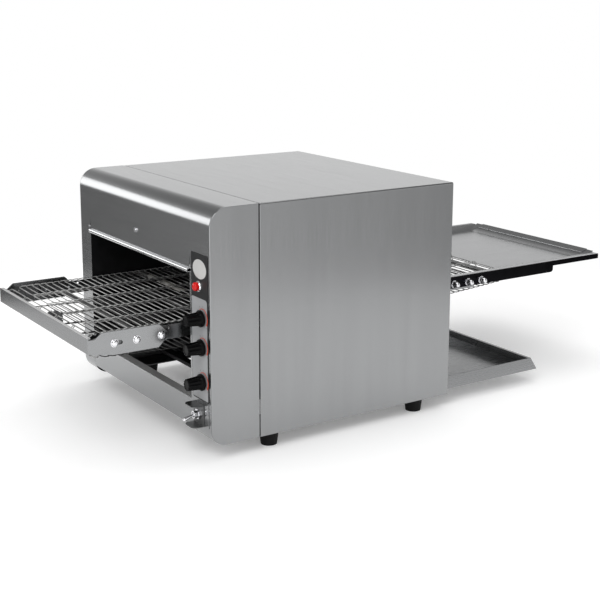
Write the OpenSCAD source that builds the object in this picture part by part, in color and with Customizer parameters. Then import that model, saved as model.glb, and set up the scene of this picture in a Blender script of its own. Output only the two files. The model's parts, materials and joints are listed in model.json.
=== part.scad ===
// Conveyor toaster for a counter: a wire belt carries slices through a heated tunnel.
// The body stands on four feet, the belt table reaches out in front, and a shelf
// behind takes what leaves the belt. X is the width, Y runs from front to rear.

/* [Body] */
// Width over the two end plates
body_w = 470; // [440:5:560]
// Height of the casing without its feet
body_h = 366; // [350:2:420]
// Depth of the front shell and the casing together
body_d = 460; // [450:5:560]
// Depth of the front shell alone
nose_d = 84; // [76:2:92]
// Height of the rubber feet
foot_h = 24; // [16:1:40]
// Thickness of the casing sheet
sheet = 1.5; // [1:0.1:2]
// Outer radius of the bend along the top front edge
top_bend_r = 30; // [20:1:36]
// Outer radius of the bend along the bottom front edges
low_bend_r = 26; // [16:1:30]
// Width of the visible joint between front shell and casing
joint_gap = 0.6; // [0.4:0.1:0.9]

/* [Tunnel opening] */
// Width of the closed column left of the opening
left_col_w = 42; // [38:1:50]
// Width of the control column right of the opening
right_col_w = 63; // [60:1:72]
// Height of the opening's top edge above the casing's bottom
opening_h = 266; // [258:1:280]
// Height of the crossbar under the opening
bar_h = 44; // [36:1:50]
// Height of the crossbar's lower edge above the casing's bottom
bar_rise = 17; // [12:1:24]

/* [Conveyor] */
// Width of the wire belt
belt_w = 336; // [320:2:338]
// Height of the belt's top face above the casing's bottom
belt_rise = 181; // [176:1:186]
// Thickness of the belt's wires
wire_d = 2; // [1.5:0.1:2.4]
// Distance between two cross wires
rung_pitch = 11.7; // [11:0.1:16]
// Width over the outer faces of the table arms
table_w = 366; // [364:1:370]
// How far the conveyor lies left of the opening's middle
table_shift = 6; // [4:0.5:8]
// How far the table reaches out in front of the shell
front_reach = 166; // [160:2:220]
// How far the exit shelf reaches out behind the casing
rear_reach = 430; // [420:5:520]
// How far the belt reaches out behind the casing, to its last shaft
belt_reach = 180; // [172:2:184]
// Sag of the return run between the front shaft and the drive shaft
front_sag = 8.5; // [4:0.5:14]

/* [Controls] */
// Length of a knob in front of the panel
knob_len = 30; // [24:1:36]
// Radius of a knob's grip at its root
knob_r = 10.5; // [9:0.5:12]
// Height of the pilot lamp above the casing's bottom
lamp_rise = 244; // [240:1:248]
// Length of the toggle lever
lever_len = 22; // [16:1:24]

/* [Crumb tray] */
// Width of the crumb tray
tray_w = 436; // [420:2:440]
// Height of the crumb tray's walls
tray_h = 20; // [16:1:24]
// How far the crumb tray reaches out behind the casing
tray_reach = 225; // [180:5:260]
// Length of the crumb tray
tray_len = 470; // [420:5:560]

/* [Hidden] */

$fn = 48;
// Overrun of every cut past the face that it opens, and overlap of pieces that join
over = 2;
// Radial running clearance of a shaft in its bore
run_gap = 0.05;
// Radial clearance of a screw or tube in its hole
hole_gap = 0.2;
// Clearance between a sliding piece and what carries it
slide_gap = 0.3;

// Colours, as the photograph shows them
steel = "#9a9c9e";
steel_dark = "#6f7173";
steel_light = "#b9bbbc";
dark_metal = "#3a3b3d";
black_plastic = "#17181a";
lamp_red = "#d5221c";
quartz = "#d8d2c4";
ceramic = "#e6e2d8";
rubber = "#1c1c1d";

// Heights and planes that several pieces share
base_z = foot_h;
top_z = foot_h + body_h;
nose_y = -(front_reach + body_d + rear_reach) / 2 + front_reach;
side_x = body_w / 2;
skin_x = side_x - sheet;
left_x = -side_x + left_col_w;
right_x = side_x - right_col_w;
opening_z = base_z + opening_h;
bar_z = base_z + bar_rise;
table_x = (left_x + right_x) / 2 - table_shift;

// The front shell
return_d = 45;
slit_w = 1.2;
slit_h = 18;
bar_gap = 0.5;
bar_flange = 16;

// The casing and its rear panel
cover_bend_r = 3;
panel_inset = 2;
panel_y = body_d - panel_inset - sheet;
rear_slot_low = 116;
rear_slot_high = 266;
rear_slot_side = 5;
tray_slot_gap = 2;
vent_r = 2.4;
vent_pitch = 9;
vent_rows = [-2, -1, 0, 1, 2];
gland_r = 8;
gland_len = 22;
gland_nut_r = 12;
gland_nut_t = 5;
gland_rise = 40;

// The runners that carry the feet and the tray
runner_w = 48;
runner_h = 36;
strap_w = 20;
strap_inset = 8;
strap_behind = 4;
foot_top_r = 16;
foot_low_r = 13;
foot_side = 25;
foot_front_y = 116;
foot_rear_inset = 55;
foot_bore_r = 4;
foot_bore_depth = 8;

// The heated chamber
chamber_low = 36;
chamber_top = 307;
reflector_inset = 15;
reflector_lip = 26;
grille_front_y = 110;
grille_rise = 40;
grille_lip = 6;
grille_slot = 12;
grille_pitch = 18;
grille_border = 14;
heater_r = 5;
heater_rise = 282;
heater_share = [0.1, 0.37, 0.63, 0.9];
low_heater_share = [0.08, 0.4, 0.72];
low_heater_r = 4;
low_heater_drop = 14;
cap_r = 8;
cap_len = 12;
cap_floor = 2;

// The hood lip over the opening
lip_reach = 8;
lip_h = 6;
lip_t = 1.2;
hood_h = 40;
hood_screw_x = -11;
hood_screw_rise = 28;
hood_head_r = 4;
hood_head_t = 2.4;
hood_shank_r = 2;
hood_nut_r = 3.8;
hood_nut_t = 2.6;
rivet_r = 2.2;
rivet_t = 1.2;
rivet_out = 4.6;
rivet_rise = 4;

// The belt and its shafts
belt_top = base_z + belt_rise;
rung_r = wire_d / 2;
turn_r = 17;
rear_turn_r = 11;
run_z = belt_top - rung_r;
roll_z = run_z - turn_r;
return_z = roll_z - turn_r;
rear_roll_z = run_z - rear_turn_r;
rear_return_z = rear_roll_z - rear_turn_r;
front_roll_inset = 22;
front_roll_y = front_roll_inset - front_reach;
rear_roll_y = body_d + belt_reach;
run_len = rear_roll_y - front_roll_y;
rungs = round(run_len / rung_pitch);
rung_step = run_len / rungs;
link_w = 3;
link_half = 0.7;
link_share = [-0.5, -0.3, -0.1, 0.1, 0.3, 0.5];
front_turn_share = [0.12, 0.34, 0.56, 0.78];
rear_turn_share = [0.17, 0.5, 0.83];
rear_sag = 2;
shaft_r = 4;
hub_r = 7.5;
hub_w = 14;
sprocket_w = 5;
sprocket_gap = 0.5;
tip_r = turn_r - rung_r - sprocket_gap;
roller_r = rear_turn_r - rung_r - sprocket_gap;
sprocket_share = [-0.47, 0, 0.47];
sprocket_teeth = 8;
tooth_cut_r = 2.4;

// The rails and arms of the table
arm_t = 2;
spacer_len = 8;
spacer_r = 6;
rail_t = 2;
arm_x = table_w / 2;
arm_in_x = arm_x - arm_t;
rail_x = arm_in_x - spacer_len;
rail_in_x = rail_x - rail_t;
rail_drop = 3;
rail_h = 22;
rail_top = belt_top - rail_drop;
rail_low = rail_top - rail_h;
rail_front_inset = 70;
rail_front_y = rail_front_inset - front_reach;
rail_rear_gap = 58;
rail_rear_y = rear_roll_y - rail_rear_gap;
rail_hole_y = -30;
rail_hole_r = 2;
rail_hole_drop = 5;
arm_proud = 4;
arm_h = 36;
arm_top = belt_top + arm_proud;
arm_low = arm_top - arm_h;
arm_nose_drop = 1;
arm_nose_h = 24;
arm_nose_top = belt_top - arm_nose_drop;
arm_nose_low = arm_nose_top - arm_nose_h;
arm_end_y = -38;
arm_nose_cut = 3.5;
arm_nose_flat = 12;
arm_slope = 23;
arm_foot_run = 42;
arm_chamfer = 13;
arm_bevel = 12;
plate_t = 2;
plate_hem = 6;
screw_z = (arm_top + arm_low) / 2;
screw_r = 3;
washer_r = 6.5;
washer_t = 1;
head_r = 5.5;
head_t = 4;
screw_nut_r = 5.5;
screw_nut_t = 3;
front_screw_inset = [79, 120];
front_screw_y = [for (inset = front_screw_inset) inset - front_reach];
takeup_inset = 43;
takeup_y = takeup_inset - front_reach;
takeup_travel = 10;
block_t = 10;
block_floor = 2;
block_under = 7;
block_over = 12;
block_low = roll_z - block_under;
block_top = roll_z + block_over;
block_front = 9;
block_back = 33;
bracket_share = [0.08, 0.92];
bracket_l = 24;
bracket_h = 14;
rod_r = 4;
rod_y_front = -70;
rod_y_rear = 542;
rod_behind_drive = 40;
rod_share = [-0.08, 0.24, 0.56];
bar_t = 2;
bar_drop = 0.4;
bar_depth = 6.2;
bar_top = run_z - rung_r - bar_drop;
bar_low = bar_top - bar_depth;
rod_z = bar_low - slide_gap - rod_r;
bar_share = [-0.33, 0, 0.33];

// The exit shelf and the arms that carry it
shelf_drop = 7;
shelf_top = belt_top - shelf_drop;
shelf_t = 1.5;
shelf_fold_in = 18;
shelf_fold_x = belt_w / 2 - shelf_fold_in;
shelf_rise = 9.5;
shelf_gap = 10;
shelf_front_y = rear_roll_y + rear_turn_r + rung_r + shelf_gap;
shelf_end_y = body_d + rear_reach;
rim_gap = 1.5;
rim_x = belt_w / 2 + rim_gap;
rim_start = 8;
rim_y = body_d + rim_start;
lip_run = 36;
lip_rise = 11;
lip_hem = 15;
wing_end_inset = 4;
rear_arm_top = shelf_top + shelf_rise;
rear_arm_h = 21;
rear_arm_low = rear_arm_top - rear_arm_h;
rear_arm_gap = 6;
rear_arm_y = body_d + rear_arm_gap;
rear_arm_reach = 307;
rear_arm_end = body_d + rear_arm_reach;
rear_arm_r = 6;
rear_screw_rise = 8;
rear_screw_z = rear_arm_low + rear_screw_rise;
rear_screw_out = [66, 98];
rear_screw_y = [for (out = rear_screw_out) body_d + out];
block_screw_out = 129;
block_screw_y = body_d + block_screw_out;
cap_nut_r = 6;
cap_nut_len = 6;
cap_dome_r = 5;
cap_dome_len = 7;
rear_block_low = rear_arm_low;
rear_block_over = 8;
rear_block_front = 56;
rear_block_back = 12;

// The drive in the control column
drive_inset = 60;
drive_y = body_d - drive_inset;
drive_z = return_z - rung_r - tip_r - sprocket_gap;
drive_r = 5;
drive_end = 2;
bush_r = 6.5;
bush_flange_r = 10;
bush_flange_t = 2.5;
chain_in = 12;
chain_x = right_x + chain_in;
chain_w = 5;
chain_half = 2.5;
chain_gap = 0.4;
wheel_r = 22;
wheel_teeth = 18;
pinion_teeth = 12;
pinion_r = wheel_r * pinion_teeth / wheel_teeth;
wheel_t = 3;
wheel_hub_r = 9;
wheel_hub_w = 8;
motor_ahead = 72;
motor_rise = 78;
motor_y = drive_y - motor_ahead;
motor_z = base_z + motor_rise;
motor_r = 29;
gearbox_in = 22;
gearbox_x = right_x + gearbox_in;
gearbox_t = 16;
motor_end_gap = 2;
motor_core_r = 24;
post_r = 2.5;
post_out = 23;
post_along = 8;
motor_shaft_r = 4;
motor_bore = 8;

// The fan on the rear panel
fan_w = 50;
fan_t = 15;
fan_x = (right_x + side_x) / 2;
fan_drop = 66;
fan_z = top_z - fan_drop;
fan_bore_r = 23;
fan_hub_r = 9;
fan_arm_w = 3;
fan_arm_t = 2;
blade_r = 21.5;
blade_t = 1.2;
blade_h = 9;
blade_tilt = 35;
blades = 7;
fan_pin_r = 2;

// The controls on the right column
label_t = 0.6;
label_inset = 6;
label_x0 = right_x + label_inset;
label_x1 = side_x - label_inset;
label_low_rise = 68;
label_top_rise = 294;
label_low = base_z + label_low_rise;
label_top = base_z + label_top_rise;
label_r = 3;
knob_in = 40;
knob_x = right_x + knob_in;
knob_rise = [197, 152, 98];
knob_gap = 3;
knob_tip_r = 9;
knob_skirt_r = 13;
knob_skirt_t = 3;
knob_flutes = 10;
flute_r = 1.6;
flute_rise = 1;
knob_dome = 1.5;
knob_bore_len = 20;
knob_bore_spare = 2;
spindle_r = 3;
spindle_in = 10;
neck_r = 4.8;
nut_r = 7;
nut_t = 2.4;
switch_w = 38;
switch_d = 30;
switch_h = 38;
lamp_in = 29.5;
lamp_x = right_x + lamp_in;
lamp_z = base_z + lamp_rise;
lens_r = 6.5;
lens_len = 10;
bezel_r = 8.5;
bezel_t = 3;
lamp_body_r = 6;
lamp_body_len = 30;
toggle_plate_in = 4;
toggle_plate_out = 8;
toggle_plate_x0 = right_x + toggle_plate_in;
toggle_plate_x1 = side_x - toggle_plate_out;
toggle_plate_rise = 27;
toggle_plate_low = base_z + toggle_plate_rise;
toggle_plate_t = 1;
toggle_in = 26;
toggle_rise = 44;
toggle_x = right_x + toggle_in;
toggle_z = base_z + toggle_rise;
toggle_neck_r = 6;
toggle_neck_len = 9;
toggle_nut_r = 8.5;
toggle_nut_t = 2.5;
toggle_body_w = 20;
toggle_body_d = 26;
toggle_body_h = 30;
lever_r = 2.2;
lever_tip_r = 2.8;
lever_ball_r = 3.4;
lever_drop = 15;
lever_seat = 3;
lever_pin_r = 1;
lever_pin_half = 5;
lever_pin_gap = 0.09;
lever_cavity_r = 4;
guard_t = 1.5;
guard_w = 31;
guard_reach = 19;
guard_h = 34;
guard_r = 8;
guard_low = base_z + toggle_plate_rise;
guard_back_y = -toggle_plate_t - guard_t;
neck_y = guard_back_y - toggle_neck_len;
lever_y = neck_y + lever_seat;

// The crumb tray
tray_t = 1;
tray_end_y = body_d + tray_reach;
tray_front_y = tray_end_y - tray_len;
tray_flange = 6;

// Repeated shapes

// Draws its children in the frame of the front shell's face
module place() {
  translate([0, nose_y, 0]) children();
}

// Gives a Y-Z outline its width from x0 to x1
module along_x(x0, x1) {
  translate([x0, 0, 0]) rotate([90, 0, 90]) linear_extrude(height = x1 - x0) children();
}

// Gives an X-Z outline its depth from y0 to y1
module along_y(y0, y1) {
  translate([0, y1, 0]) rotate([90, 0, 0]) linear_extrude(height = y1 - y0) children();
}

// A plain block between two corners
module block(low, high) {
  translate(low) cube(high - low);
}

// A round bar along X
module rod_x(r, x0, x1, y, z) {
  translate([x0, y, z]) rotate([0, 90, 0]) cylinder(r = r, h = x1 - x0);
}

// A round bar along Y
module rod_y(r, y0, y1, x, z) {
  translate([x, y1, z]) rotate([90, 0, 0]) cylinder(r = r, h = y1 - y0);
}

// Draws its children on the right of the conveyor and mirrored on its left
module both_arms() {
  translate([table_x, 0, 0]) {
    children();
    mirror([1, 0, 0]) children();
  }
}

// Draws its children on the right of the body and mirrored on its left
module both_sides() {
  children();
  mirror([1, 0, 0]) children();
}

// A rectangle with round corners, from its low corner
module round_rect(w, h, r) {
  translate([r, 0]) square([w - 2 * r, h]);
  translate([0, r]) square([w, h - 2 * r]);
  for (x = [r, w - r], y = [r, h - r]) translate([x, y]) circle(r);
}

// Side outline of the front shell, drawn in by inset, back to the depth d
module nose_outline(inset, d) {
  difference() {
    translate([inset, base_z + inset]) square([d - inset, body_h - 2 * inset]);
    difference() {
      translate([-over, top_z - top_bend_r]) square([top_bend_r + over, top_bend_r + over]);
      translate([top_bend_r, top_z - top_bend_r]) circle(top_bend_r - inset);
    }
    difference() {
      translate([-over, base_z - over]) square([low_bend_r + over, low_bend_r + over]);
      translate([low_bend_r, base_z + low_bend_r]) circle(low_bend_r - inset);
    }
  }
}

// The folded inner side of a column, from x0 to x1
module column_return(x0, x1) {
  intersection() {
    along_x(x0, x1) nose_outline(0, nose_d);
    block([x0, 0, base_z], [x1, return_d, opening_z]);
  }
}

// Body and front shell

module front_panel() color(steel_dark) place() {
  difference() {
    union() {
      difference() {
        along_x(-skin_x, skin_x) difference() {
          nose_outline(0, nose_d);
          nose_outline(sheet, nose_d + over);
        }
        block([left_x, -over, base_z - over], [right_x, nose_d + over, opening_z]);
      }
      column_return(left_x - sheet, left_x);
      column_return(right_x, right_x + sheet);
    }
    for (x = [left_x - slit_w, right_x])
      block([x, -over, opening_z - over], [x + slit_w, sheet + over, opening_z + slit_h]);
    rod_y(hood_shank_r + hole_gap, -over, sheet + over, hood_screw_x, opening_z + hood_screw_rise);
    for (x = [left_x - rivet_out, right_x + rivet_out - slit_w])
      rod_y(rivet_r / 2 + hole_gap, -over, sheet + over, x, opening_z + rivet_rise);
    for (rise = knob_rise)
      rod_y(neck_r + hole_gap, -over, sheet + over, knob_x, base_z + rise);
    rod_y(lamp_body_r + hole_gap, -over, sheet + over, lamp_x, lamp_z);
    rod_y(toggle_neck_r + hole_gap, -over, sheet + over, toggle_x, toggle_z);
  }
}

module end_plates() color(steel) place() {
  for (x = [-side_x, skin_x]) along_x(x, x + sheet) nose_outline(0, nose_d);
}

module casing_cover() color(steel) place() {
  along_y(nose_d + joint_gap, body_d) difference() {
    union() {
      translate([-side_x, base_z]) square([body_w, body_h - cover_bend_r]);
      translate([-side_x + cover_bend_r, top_z - cover_bend_r])
        square([body_w - 2 * cover_bend_r, cover_bend_r]);
      for (x = [-side_x + cover_bend_r, side_x - cover_bend_r])
        translate([x, top_z - cover_bend_r]) circle(cover_bend_r);
    }
    translate([-skin_x, base_z - over]) square([2 * skin_x, body_h - sheet + over]);
  }
}

module rear_panel() color(steel) place() {
  slot_x0 = table_x - arm_x - rear_slot_side;
  slot_x1 = table_x + arm_x + rear_slot_side;
  difference() {
    block([-skin_x, panel_y, base_z], [skin_x, panel_y + sheet, top_z - sheet]);
    block([slot_x0, panel_y - over, base_z + rear_slot_low],
      [slot_x1, panel_y + sheet + over, base_z + rear_slot_high]);
    block([-tray_w / 2 - over, panel_y - over, base_z - over],
      [tray_w / 2 + over, panel_y + sheet + over, base_z + sheet + tray_h + tray_slot_gap]);
    for (i = vent_rows, j = vent_rows)
      rod_y(vent_r, panel_y - over, panel_y + sheet + over, fan_x + i * vent_pitch,
        fan_z + j * vent_pitch);
    rod_y(gland_r + hole_gap, panel_y - over, panel_y + sheet + over, fan_x, base_z + gland_rise);
  }
}

// The cable gland, with its nuts on both faces of the rear panel
module cable_gland() color(black_plastic) place() {
  difference() {
    union() {
      rod_y(gland_r, panel_y - gland_nut_t, panel_y + gland_len, fan_x, base_z + gland_rise);
      rod_y(gland_nut_r, panel_y + sheet, panel_y + sheet + gland_nut_t, fan_x,
        base_z + gland_rise, $fn = 6);
      rod_y(gland_nut_r, panel_y - gland_nut_t, panel_y, fan_x, base_z + gland_rise, $fn = 6);
    }
    rod_y(gland_r / 2, panel_y - gland_nut_t - over, panel_y + gland_len + over, fan_x,
      base_z + gland_rise);
  }
}

module crossbar() color(steel) place() {
  along_x(left_x + bar_gap, right_x) translate([0, bar_z]) difference() {
    square([bar_flange, bar_h]);
    translate([sheet, sheet]) square([bar_flange, bar_h - 2 * sheet]);
  }
}

module base_runners() color(steel_dark) place() {
  end_y = panel_y;
  both_sides() {
    block([skin_x - runner_w, nose_d, base_z], [skin_x, end_y, base_z + sheet]);
    block([skin_x - sheet, nose_d, base_z], [skin_x, end_y, base_z + runner_h]);
  }
  for (y = [tray_front_y + strap_behind, end_y - strap_inset - strap_w])
    block([-skin_x + runner_w - over, y, base_z], [skin_x - runner_w + over, y + strap_w,
      base_z + sheet]);
}

module feet() color(rubber) place() {
  both_sides()
    for (y = [foot_front_y, body_d - foot_rear_inset])
      translate([side_x - foot_side, y, 0]) difference() {
        cylinder(r1 = foot_low_r, r2 = foot_top_r, h = foot_h);
        translate([0, 0, -over]) cylinder(r = foot_bore_r, h = foot_bore_depth + over);
      }
}

// The heated chamber

// Y of one heater tube, from its share of the chamber's depth
function heater_y(share) = return_d + share * (panel_y - return_d);

function low_heater_y(share) = nose_d + share * (drive_y - nose_d);

module chamber_wall(x0, x1) {
  difference() {
    block([x0, return_d, base_z + chamber_low], [x1, panel_y, base_z + chamber_top]);
    for (share = heater_share)
      rod_x(heater_r + hole_gap, x0 - over, x1 + over, heater_y(share), base_z + heater_rise);
    for (share = low_heater_share)
      rod_x(low_heater_r + hole_gap, x0 - over, x1 + over, low_heater_y(share),
        belt_top - low_heater_drop);
    rod_x(bush_r + hole_gap, x0 - over, x1 + over, drive_y, drive_z);
  }
}

module chamber_walls() color(dark_metal) place() {
  chamber_wall(left_x - sheet, left_x);
  chamber_wall(right_x, right_x + sheet);
}

module upper_reflector() color(dark_metal) place() {
  y0 = return_d + reflector_inset;
  y1 = panel_y - reflector_inset;
  z1 = base_z + chamber_top;
  block([left_x, y0, z1 - sheet], [right_x, y1, z1]);
  for (y = [y0, y1 - sheet])
    block([left_x, y, z1 - reflector_lip], [right_x, y + sheet, z1]);
}

module lower_grille() color(dark_metal) place() {
  y1 = panel_y - reflector_inset;
  z = base_z + grille_rise;
  slots = floor((y1 - grille_front_y - 2 * grille_border) / grille_pitch);
  difference() {
    block([left_x, grille_front_y, z - sheet], [right_x, y1, z]);
    for (i = [0 : slots - 1])
      block([left_x + grille_border, grille_front_y + grille_border + i * grille_pitch, z - over],
        [right_x - grille_border,
          grille_front_y + grille_border + i * grille_pitch + grille_slot, z + over]);
  }
  block([left_x, grille_front_y, z - grille_lip], [right_x, grille_front_y + sheet, z]);
}

module heater_row(shares, low) {
  r = low ? low_heater_r : heater_r;
  z = low ? belt_top - low_heater_drop : base_z + heater_rise;
  for (share = shares)
    rod_x(r, left_x - sheet - cap_len + cap_floor, right_x + sheet + cap_len - cap_floor,
      low ? low_heater_y(share) : heater_y(share), z);
}

module heater_tubes() color(quartz) place() {
  heater_row(heater_share, false);
  heater_row(low_heater_share, true);
}

module heater_cap(x0, x1, bore0, r, y, z) {
  difference() {
    rod_x(cap_r, x0, x1, y, z);
    rod_x(r + hole_gap, bore0, bore0 + cap_len - cap_floor + over, y, z);
  }
}

module heater_cap_pair(r, y, z) {
  left0 = left_x - sheet - cap_len;
  right0 = right_x + sheet;
  heater_cap(left0, left0 + cap_len, left0 + cap_floor, r, y, z);
  heater_cap(right0, right0 + cap_len, right0 - over, r, y, z);
}

module heater_caps() color(ceramic) place() {
  for (share = heater_share) heater_cap_pair(heater_r, heater_y(share), base_z + heater_rise);
  for (share = low_heater_share)
    heater_cap_pair(low_heater_r, low_heater_y(share), belt_top - low_heater_drop);
}

// The hood lip over the opening

module hood_lip() color(steel_light) place() {
  y0 = sheet + slide_gap;
  y1 = y0 + lip_t;
  z0 = opening_z - slide_gap - lip_h;
  nose_r = lip_h / 2;
  difference() {
    along_x(left_x + bar_gap, right_x - bar_gap) {
      difference() {
        union() {
          translate([nose_r - lip_reach, z0]) square([lip_reach - nose_r + y1, lip_h]);
          translate([nose_r - lip_reach, z0 + nose_r]) circle(nose_r);
        }
        translate([nose_r - lip_reach, z0 + lip_t])
          square([lip_reach - nose_r + y0, lip_h - 2 * lip_t]);
        translate([nose_r - lip_reach, z0 + nose_r]) circle(nose_r - lip_t);
      }
      translate([y0, z0]) square([lip_t, hood_h + lip_h]);
    }
    rod_y(hood_shank_r + hole_gap, y0 - over, y1 + over, hood_screw_x,
      opening_z + hood_screw_rise);
  }
}

module hood_fasteners() color(steel_light) place() {
  nut_y = sheet + slide_gap + lip_t;
  z = opening_z + hood_screw_rise;
  rod_y(hood_head_r, -hood_head_t / 2, 0, hood_screw_x, z);
  rod_y(hood_head_r * 0.8, -hood_head_t, -hood_head_t / 2, hood_screw_x, z);
  rod_y(hood_shank_r, -hood_head_t / 2, nut_y + hood_nut_t, hood_screw_x, z);
  rod_y(hood_nut_r, nut_y, nut_y + hood_nut_t, hood_screw_x, z, $fn = 6);
  for (x = [left_x - rivet_out, right_x + rivet_out - slit_w]) {
    rod_y(rivet_r, -rivet_t, 0, x, opening_z + rivet_rise);
    rod_y(rivet_r / 2, -rivet_t / 2, sheet, x, opening_z + rivet_rise);
  }
}

// The controls

module control_label() color(dark_metal) place() {
  difference() {
    along_y(-label_t, 0) translate([label_x0, label_low])
      round_rect(label_x1 - label_x0, label_top - label_low, label_r);
    for (rise = knob_rise)
      rod_y(neck_r + hole_gap, -label_t - over, over, knob_x, base_z + rise);
    rod_y(lamp_body_r + hole_gap, -label_t - over, over, lamp_x, lamp_z);
  }
}

module lamp_bezel() color(steel_light) place() {
  difference() {
    rod_y(bezel_r, -label_t - bezel_t, -label_t, lamp_x, lamp_z);
    rod_y(lens_r + hole_gap, -label_t - bezel_t - over, -label_t - bezel_t / 3, lamp_x, lamp_z);
    rod_y(lamp_body_r + hole_gap, -label_t - bezel_t, over, lamp_x, lamp_z);
  }
}

module pilot_lamp() color(lamp_red) place() {
  face = -label_t - lens_len;
  rod_y(lens_r, face + lens_r / 3, -label_t - bezel_t / 3, lamp_x, lamp_z);
  translate([lamp_x, face + lens_r / 3, lamp_z]) rotate([90, 0, 0])
    cylinder(r1 = lens_r, r2 = lens_r * 0.7, h = lens_r / 3);
  rod_y(lamp_body_r, -label_t - bezel_t / 2, lamp_body_len, lamp_x, lamp_z);
}

module knob(rise) color(black_plastic) place() {
  root = label_t + knob_gap;
  grip = knob_len - root - knob_skirt_t - knob_dome;
  translate([knob_x, -root, base_z + rise]) rotate([90, 0, 0]) difference() {
    union() {
      cylinder(r = knob_skirt_r, h = knob_skirt_t);
      translate([0, 0, knob_skirt_t]) cylinder(r1 = knob_r, r2 = knob_tip_r, h = grip);
      translate([0, 0, knob_skirt_t + grip])
        cylinder(r1 = knob_tip_r, r2 = knob_tip_r - knob_dome, h = knob_dome);
    }
    for (i = [0 : knob_flutes - 1])
      rotate([0, 0, i * 360 / knob_flutes])
        translate([knob_r - flute_r / 4, 0, knob_skirt_t + flute_rise])
          cylinder(r = flute_r, h = knob_len);
    translate([0, 0, -over]) cylinder(r = spindle_r + run_gap, h = knob_bore_len + over);
  }
}

module spindle(rise) color(steel_light) place() {
  rod_y(spindle_r, -label_t - knob_gap - knob_bore_len + knob_bore_spare, spindle_in, knob_x,
    base_z + rise);
}

module switch_body(rise) color(black_plastic) place() {
  z = base_z + rise;
  difference() {
    union() {
      block([knob_x - switch_w / 2, sheet, z - switch_h / 2],
        [knob_x + switch_w / 2, sheet + switch_d, z + switch_h / 2]);
      rod_y(neck_r, -label_t - nut_t, sheet, knob_x, z);
      rod_y(nut_r, -label_t - nut_t, -label_t, knob_x, z, $fn = 6);
    }
    rod_y(spindle_r + run_gap, -label_t - nut_t - over, spindle_in + over, knob_x, z);
  }
}

module switch_plate() color(steel) place() {
  low = toggle_plate_low;
  difference() {
    along_y(-toggle_plate_t, 0) translate([toggle_plate_x0, low])
      round_rect(toggle_plate_x1 - toggle_plate_x0, label_low - slide_gap - low, label_r / 2);
    rod_y(toggle_neck_r + hole_gap, -toggle_plate_t - over, over, toggle_x, toggle_z);
  }
}

// One round-cornered fin of the guard, from the height z0 up
module guard_fin(z0) {
  translate([toggle_x - guard_w / 2, -toggle_plate_t - guard_reach, z0])
    linear_extrude(height = guard_t) round_rect(guard_w, 2 * guard_reach, guard_r);
}

module switch_guard() color(steel_dark) place() {
  z0 = guard_low;
  difference() {
    union() {
      difference() {
        union() {
          guard_fin(z0);
          guard_fin(z0 + guard_h - guard_t);
        }
        block([toggle_x - guard_w, -toggle_plate_t, z0 - over],
          [toggle_x + guard_w, guard_reach, z0 + guard_h + over]);
      }
      block([toggle_x - guard_w / 2, guard_back_y, z0],
        [toggle_x + guard_w / 2, -toggle_plate_t, z0 + guard_h]);
    }
    rod_y(toggle_neck_r + hole_gap, guard_back_y - over, over, toggle_x, toggle_z);
  }
}

module toggle_bushing() color(steel_light) place() {
  difference() {
    union() {
      rod_y(toggle_neck_r, neck_y, sheet, toggle_x, toggle_z);
      rod_y(toggle_nut_r, guard_back_y - toggle_nut_t, guard_back_y, toggle_x, toggle_z,
        $fn = 6);
      block([toggle_x - toggle_body_w / 2, sheet, toggle_z - toggle_body_h / 2],
        [toggle_x + toggle_body_w / 2, sheet + toggle_body_d, toggle_z + toggle_body_h / 2]);
    }
    rod_y(lever_cavity_r, neck_y - over, lever_y + lever_cavity_r, toggle_x, toggle_z);
    rod_x(lever_pin_r + lever_pin_gap, toggle_x - toggle_neck_r - over, toggle_x + toggle_neck_r + over,
      lever_y, toggle_z);
  }
}

module toggle_lever() color(steel_light) place() {
  translate([toggle_x, lever_y, toggle_z]) rotate([90 + lever_drop, 0, 0]) {
    sphere(lever_ball_r);
    cylinder(r1 = lever_r, r2 = lever_tip_r, h = lever_len - lever_tip_r);
    translate([0, 0, lever_len - lever_tip_r]) sphere(lever_tip_r);
  }
  rod_x(lever_pin_r, toggle_x - lever_pin_half, toggle_x + lever_pin_half, lever_y, toggle_z);
}

// Rails, arms and shelf of the table

// Places of a screw's holes through arm, spacer and rail
module screw_holes(r, x0, x1) {
  for (y = front_screw_y) rod_x(r, x0, x1, y, screw_z);
  for (y = rear_screw_y) rod_x(r, x0, x1, y, rear_screw_z);
}

module side_rails() color(steel) place() {
  both_arms() difference() {
    block([rail_in_x, rail_front_y, rail_low], [rail_x, rail_rear_y, rail_top]);
    screw_holes(screw_r + hole_gap, rail_in_x - over, rail_x + over);
    rod_x(rail_hole_r, rail_in_x - over, rail_x + over, rail_hole_y, rail_top - rail_hole_drop);
    for (share = low_heater_share)
      rod_x(low_heater_r + hole_gap, rail_in_x - over, rail_x + over, low_heater_y(share),
        belt_top - low_heater_drop);
  }
}

module rail_brackets() color(steel_dark) place() {
  z = (rail_top + rail_low) / 2;
  for (share = bracket_share) {
    y = return_d + share * (panel_y - return_d);
    block([left_x, y - bracket_l / 2, z - bracket_h / 2],
      [table_x - rail_x, y + bracket_l / 2, z + bracket_h / 2]);
    block([table_x + rail_x, y - bracket_l / 2, z - bracket_h / 2],
      [right_x, y + bracket_l / 2, z + bracket_h / 2]);
  }
}

module support_rods() color(steel_light) place() {
  inside = [for (share = rod_share) low_heater_y(share)];
  for (y = concat([rod_y_front], inside, [drive_y + rod_behind_drive, rod_y_rear]))
    rod_x(rod_r, table_x - rail_in_x, table_x + rail_in_x, y, rod_z);
}

module support_bars() color(steel_light) place() {
  for (share = bar_share)
    block([table_x + share * belt_w - bar_t / 2, rod_y_front, bar_low],
      [table_x + share * belt_w + bar_t / 2, rod_y_rear, bar_top]);
}

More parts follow.
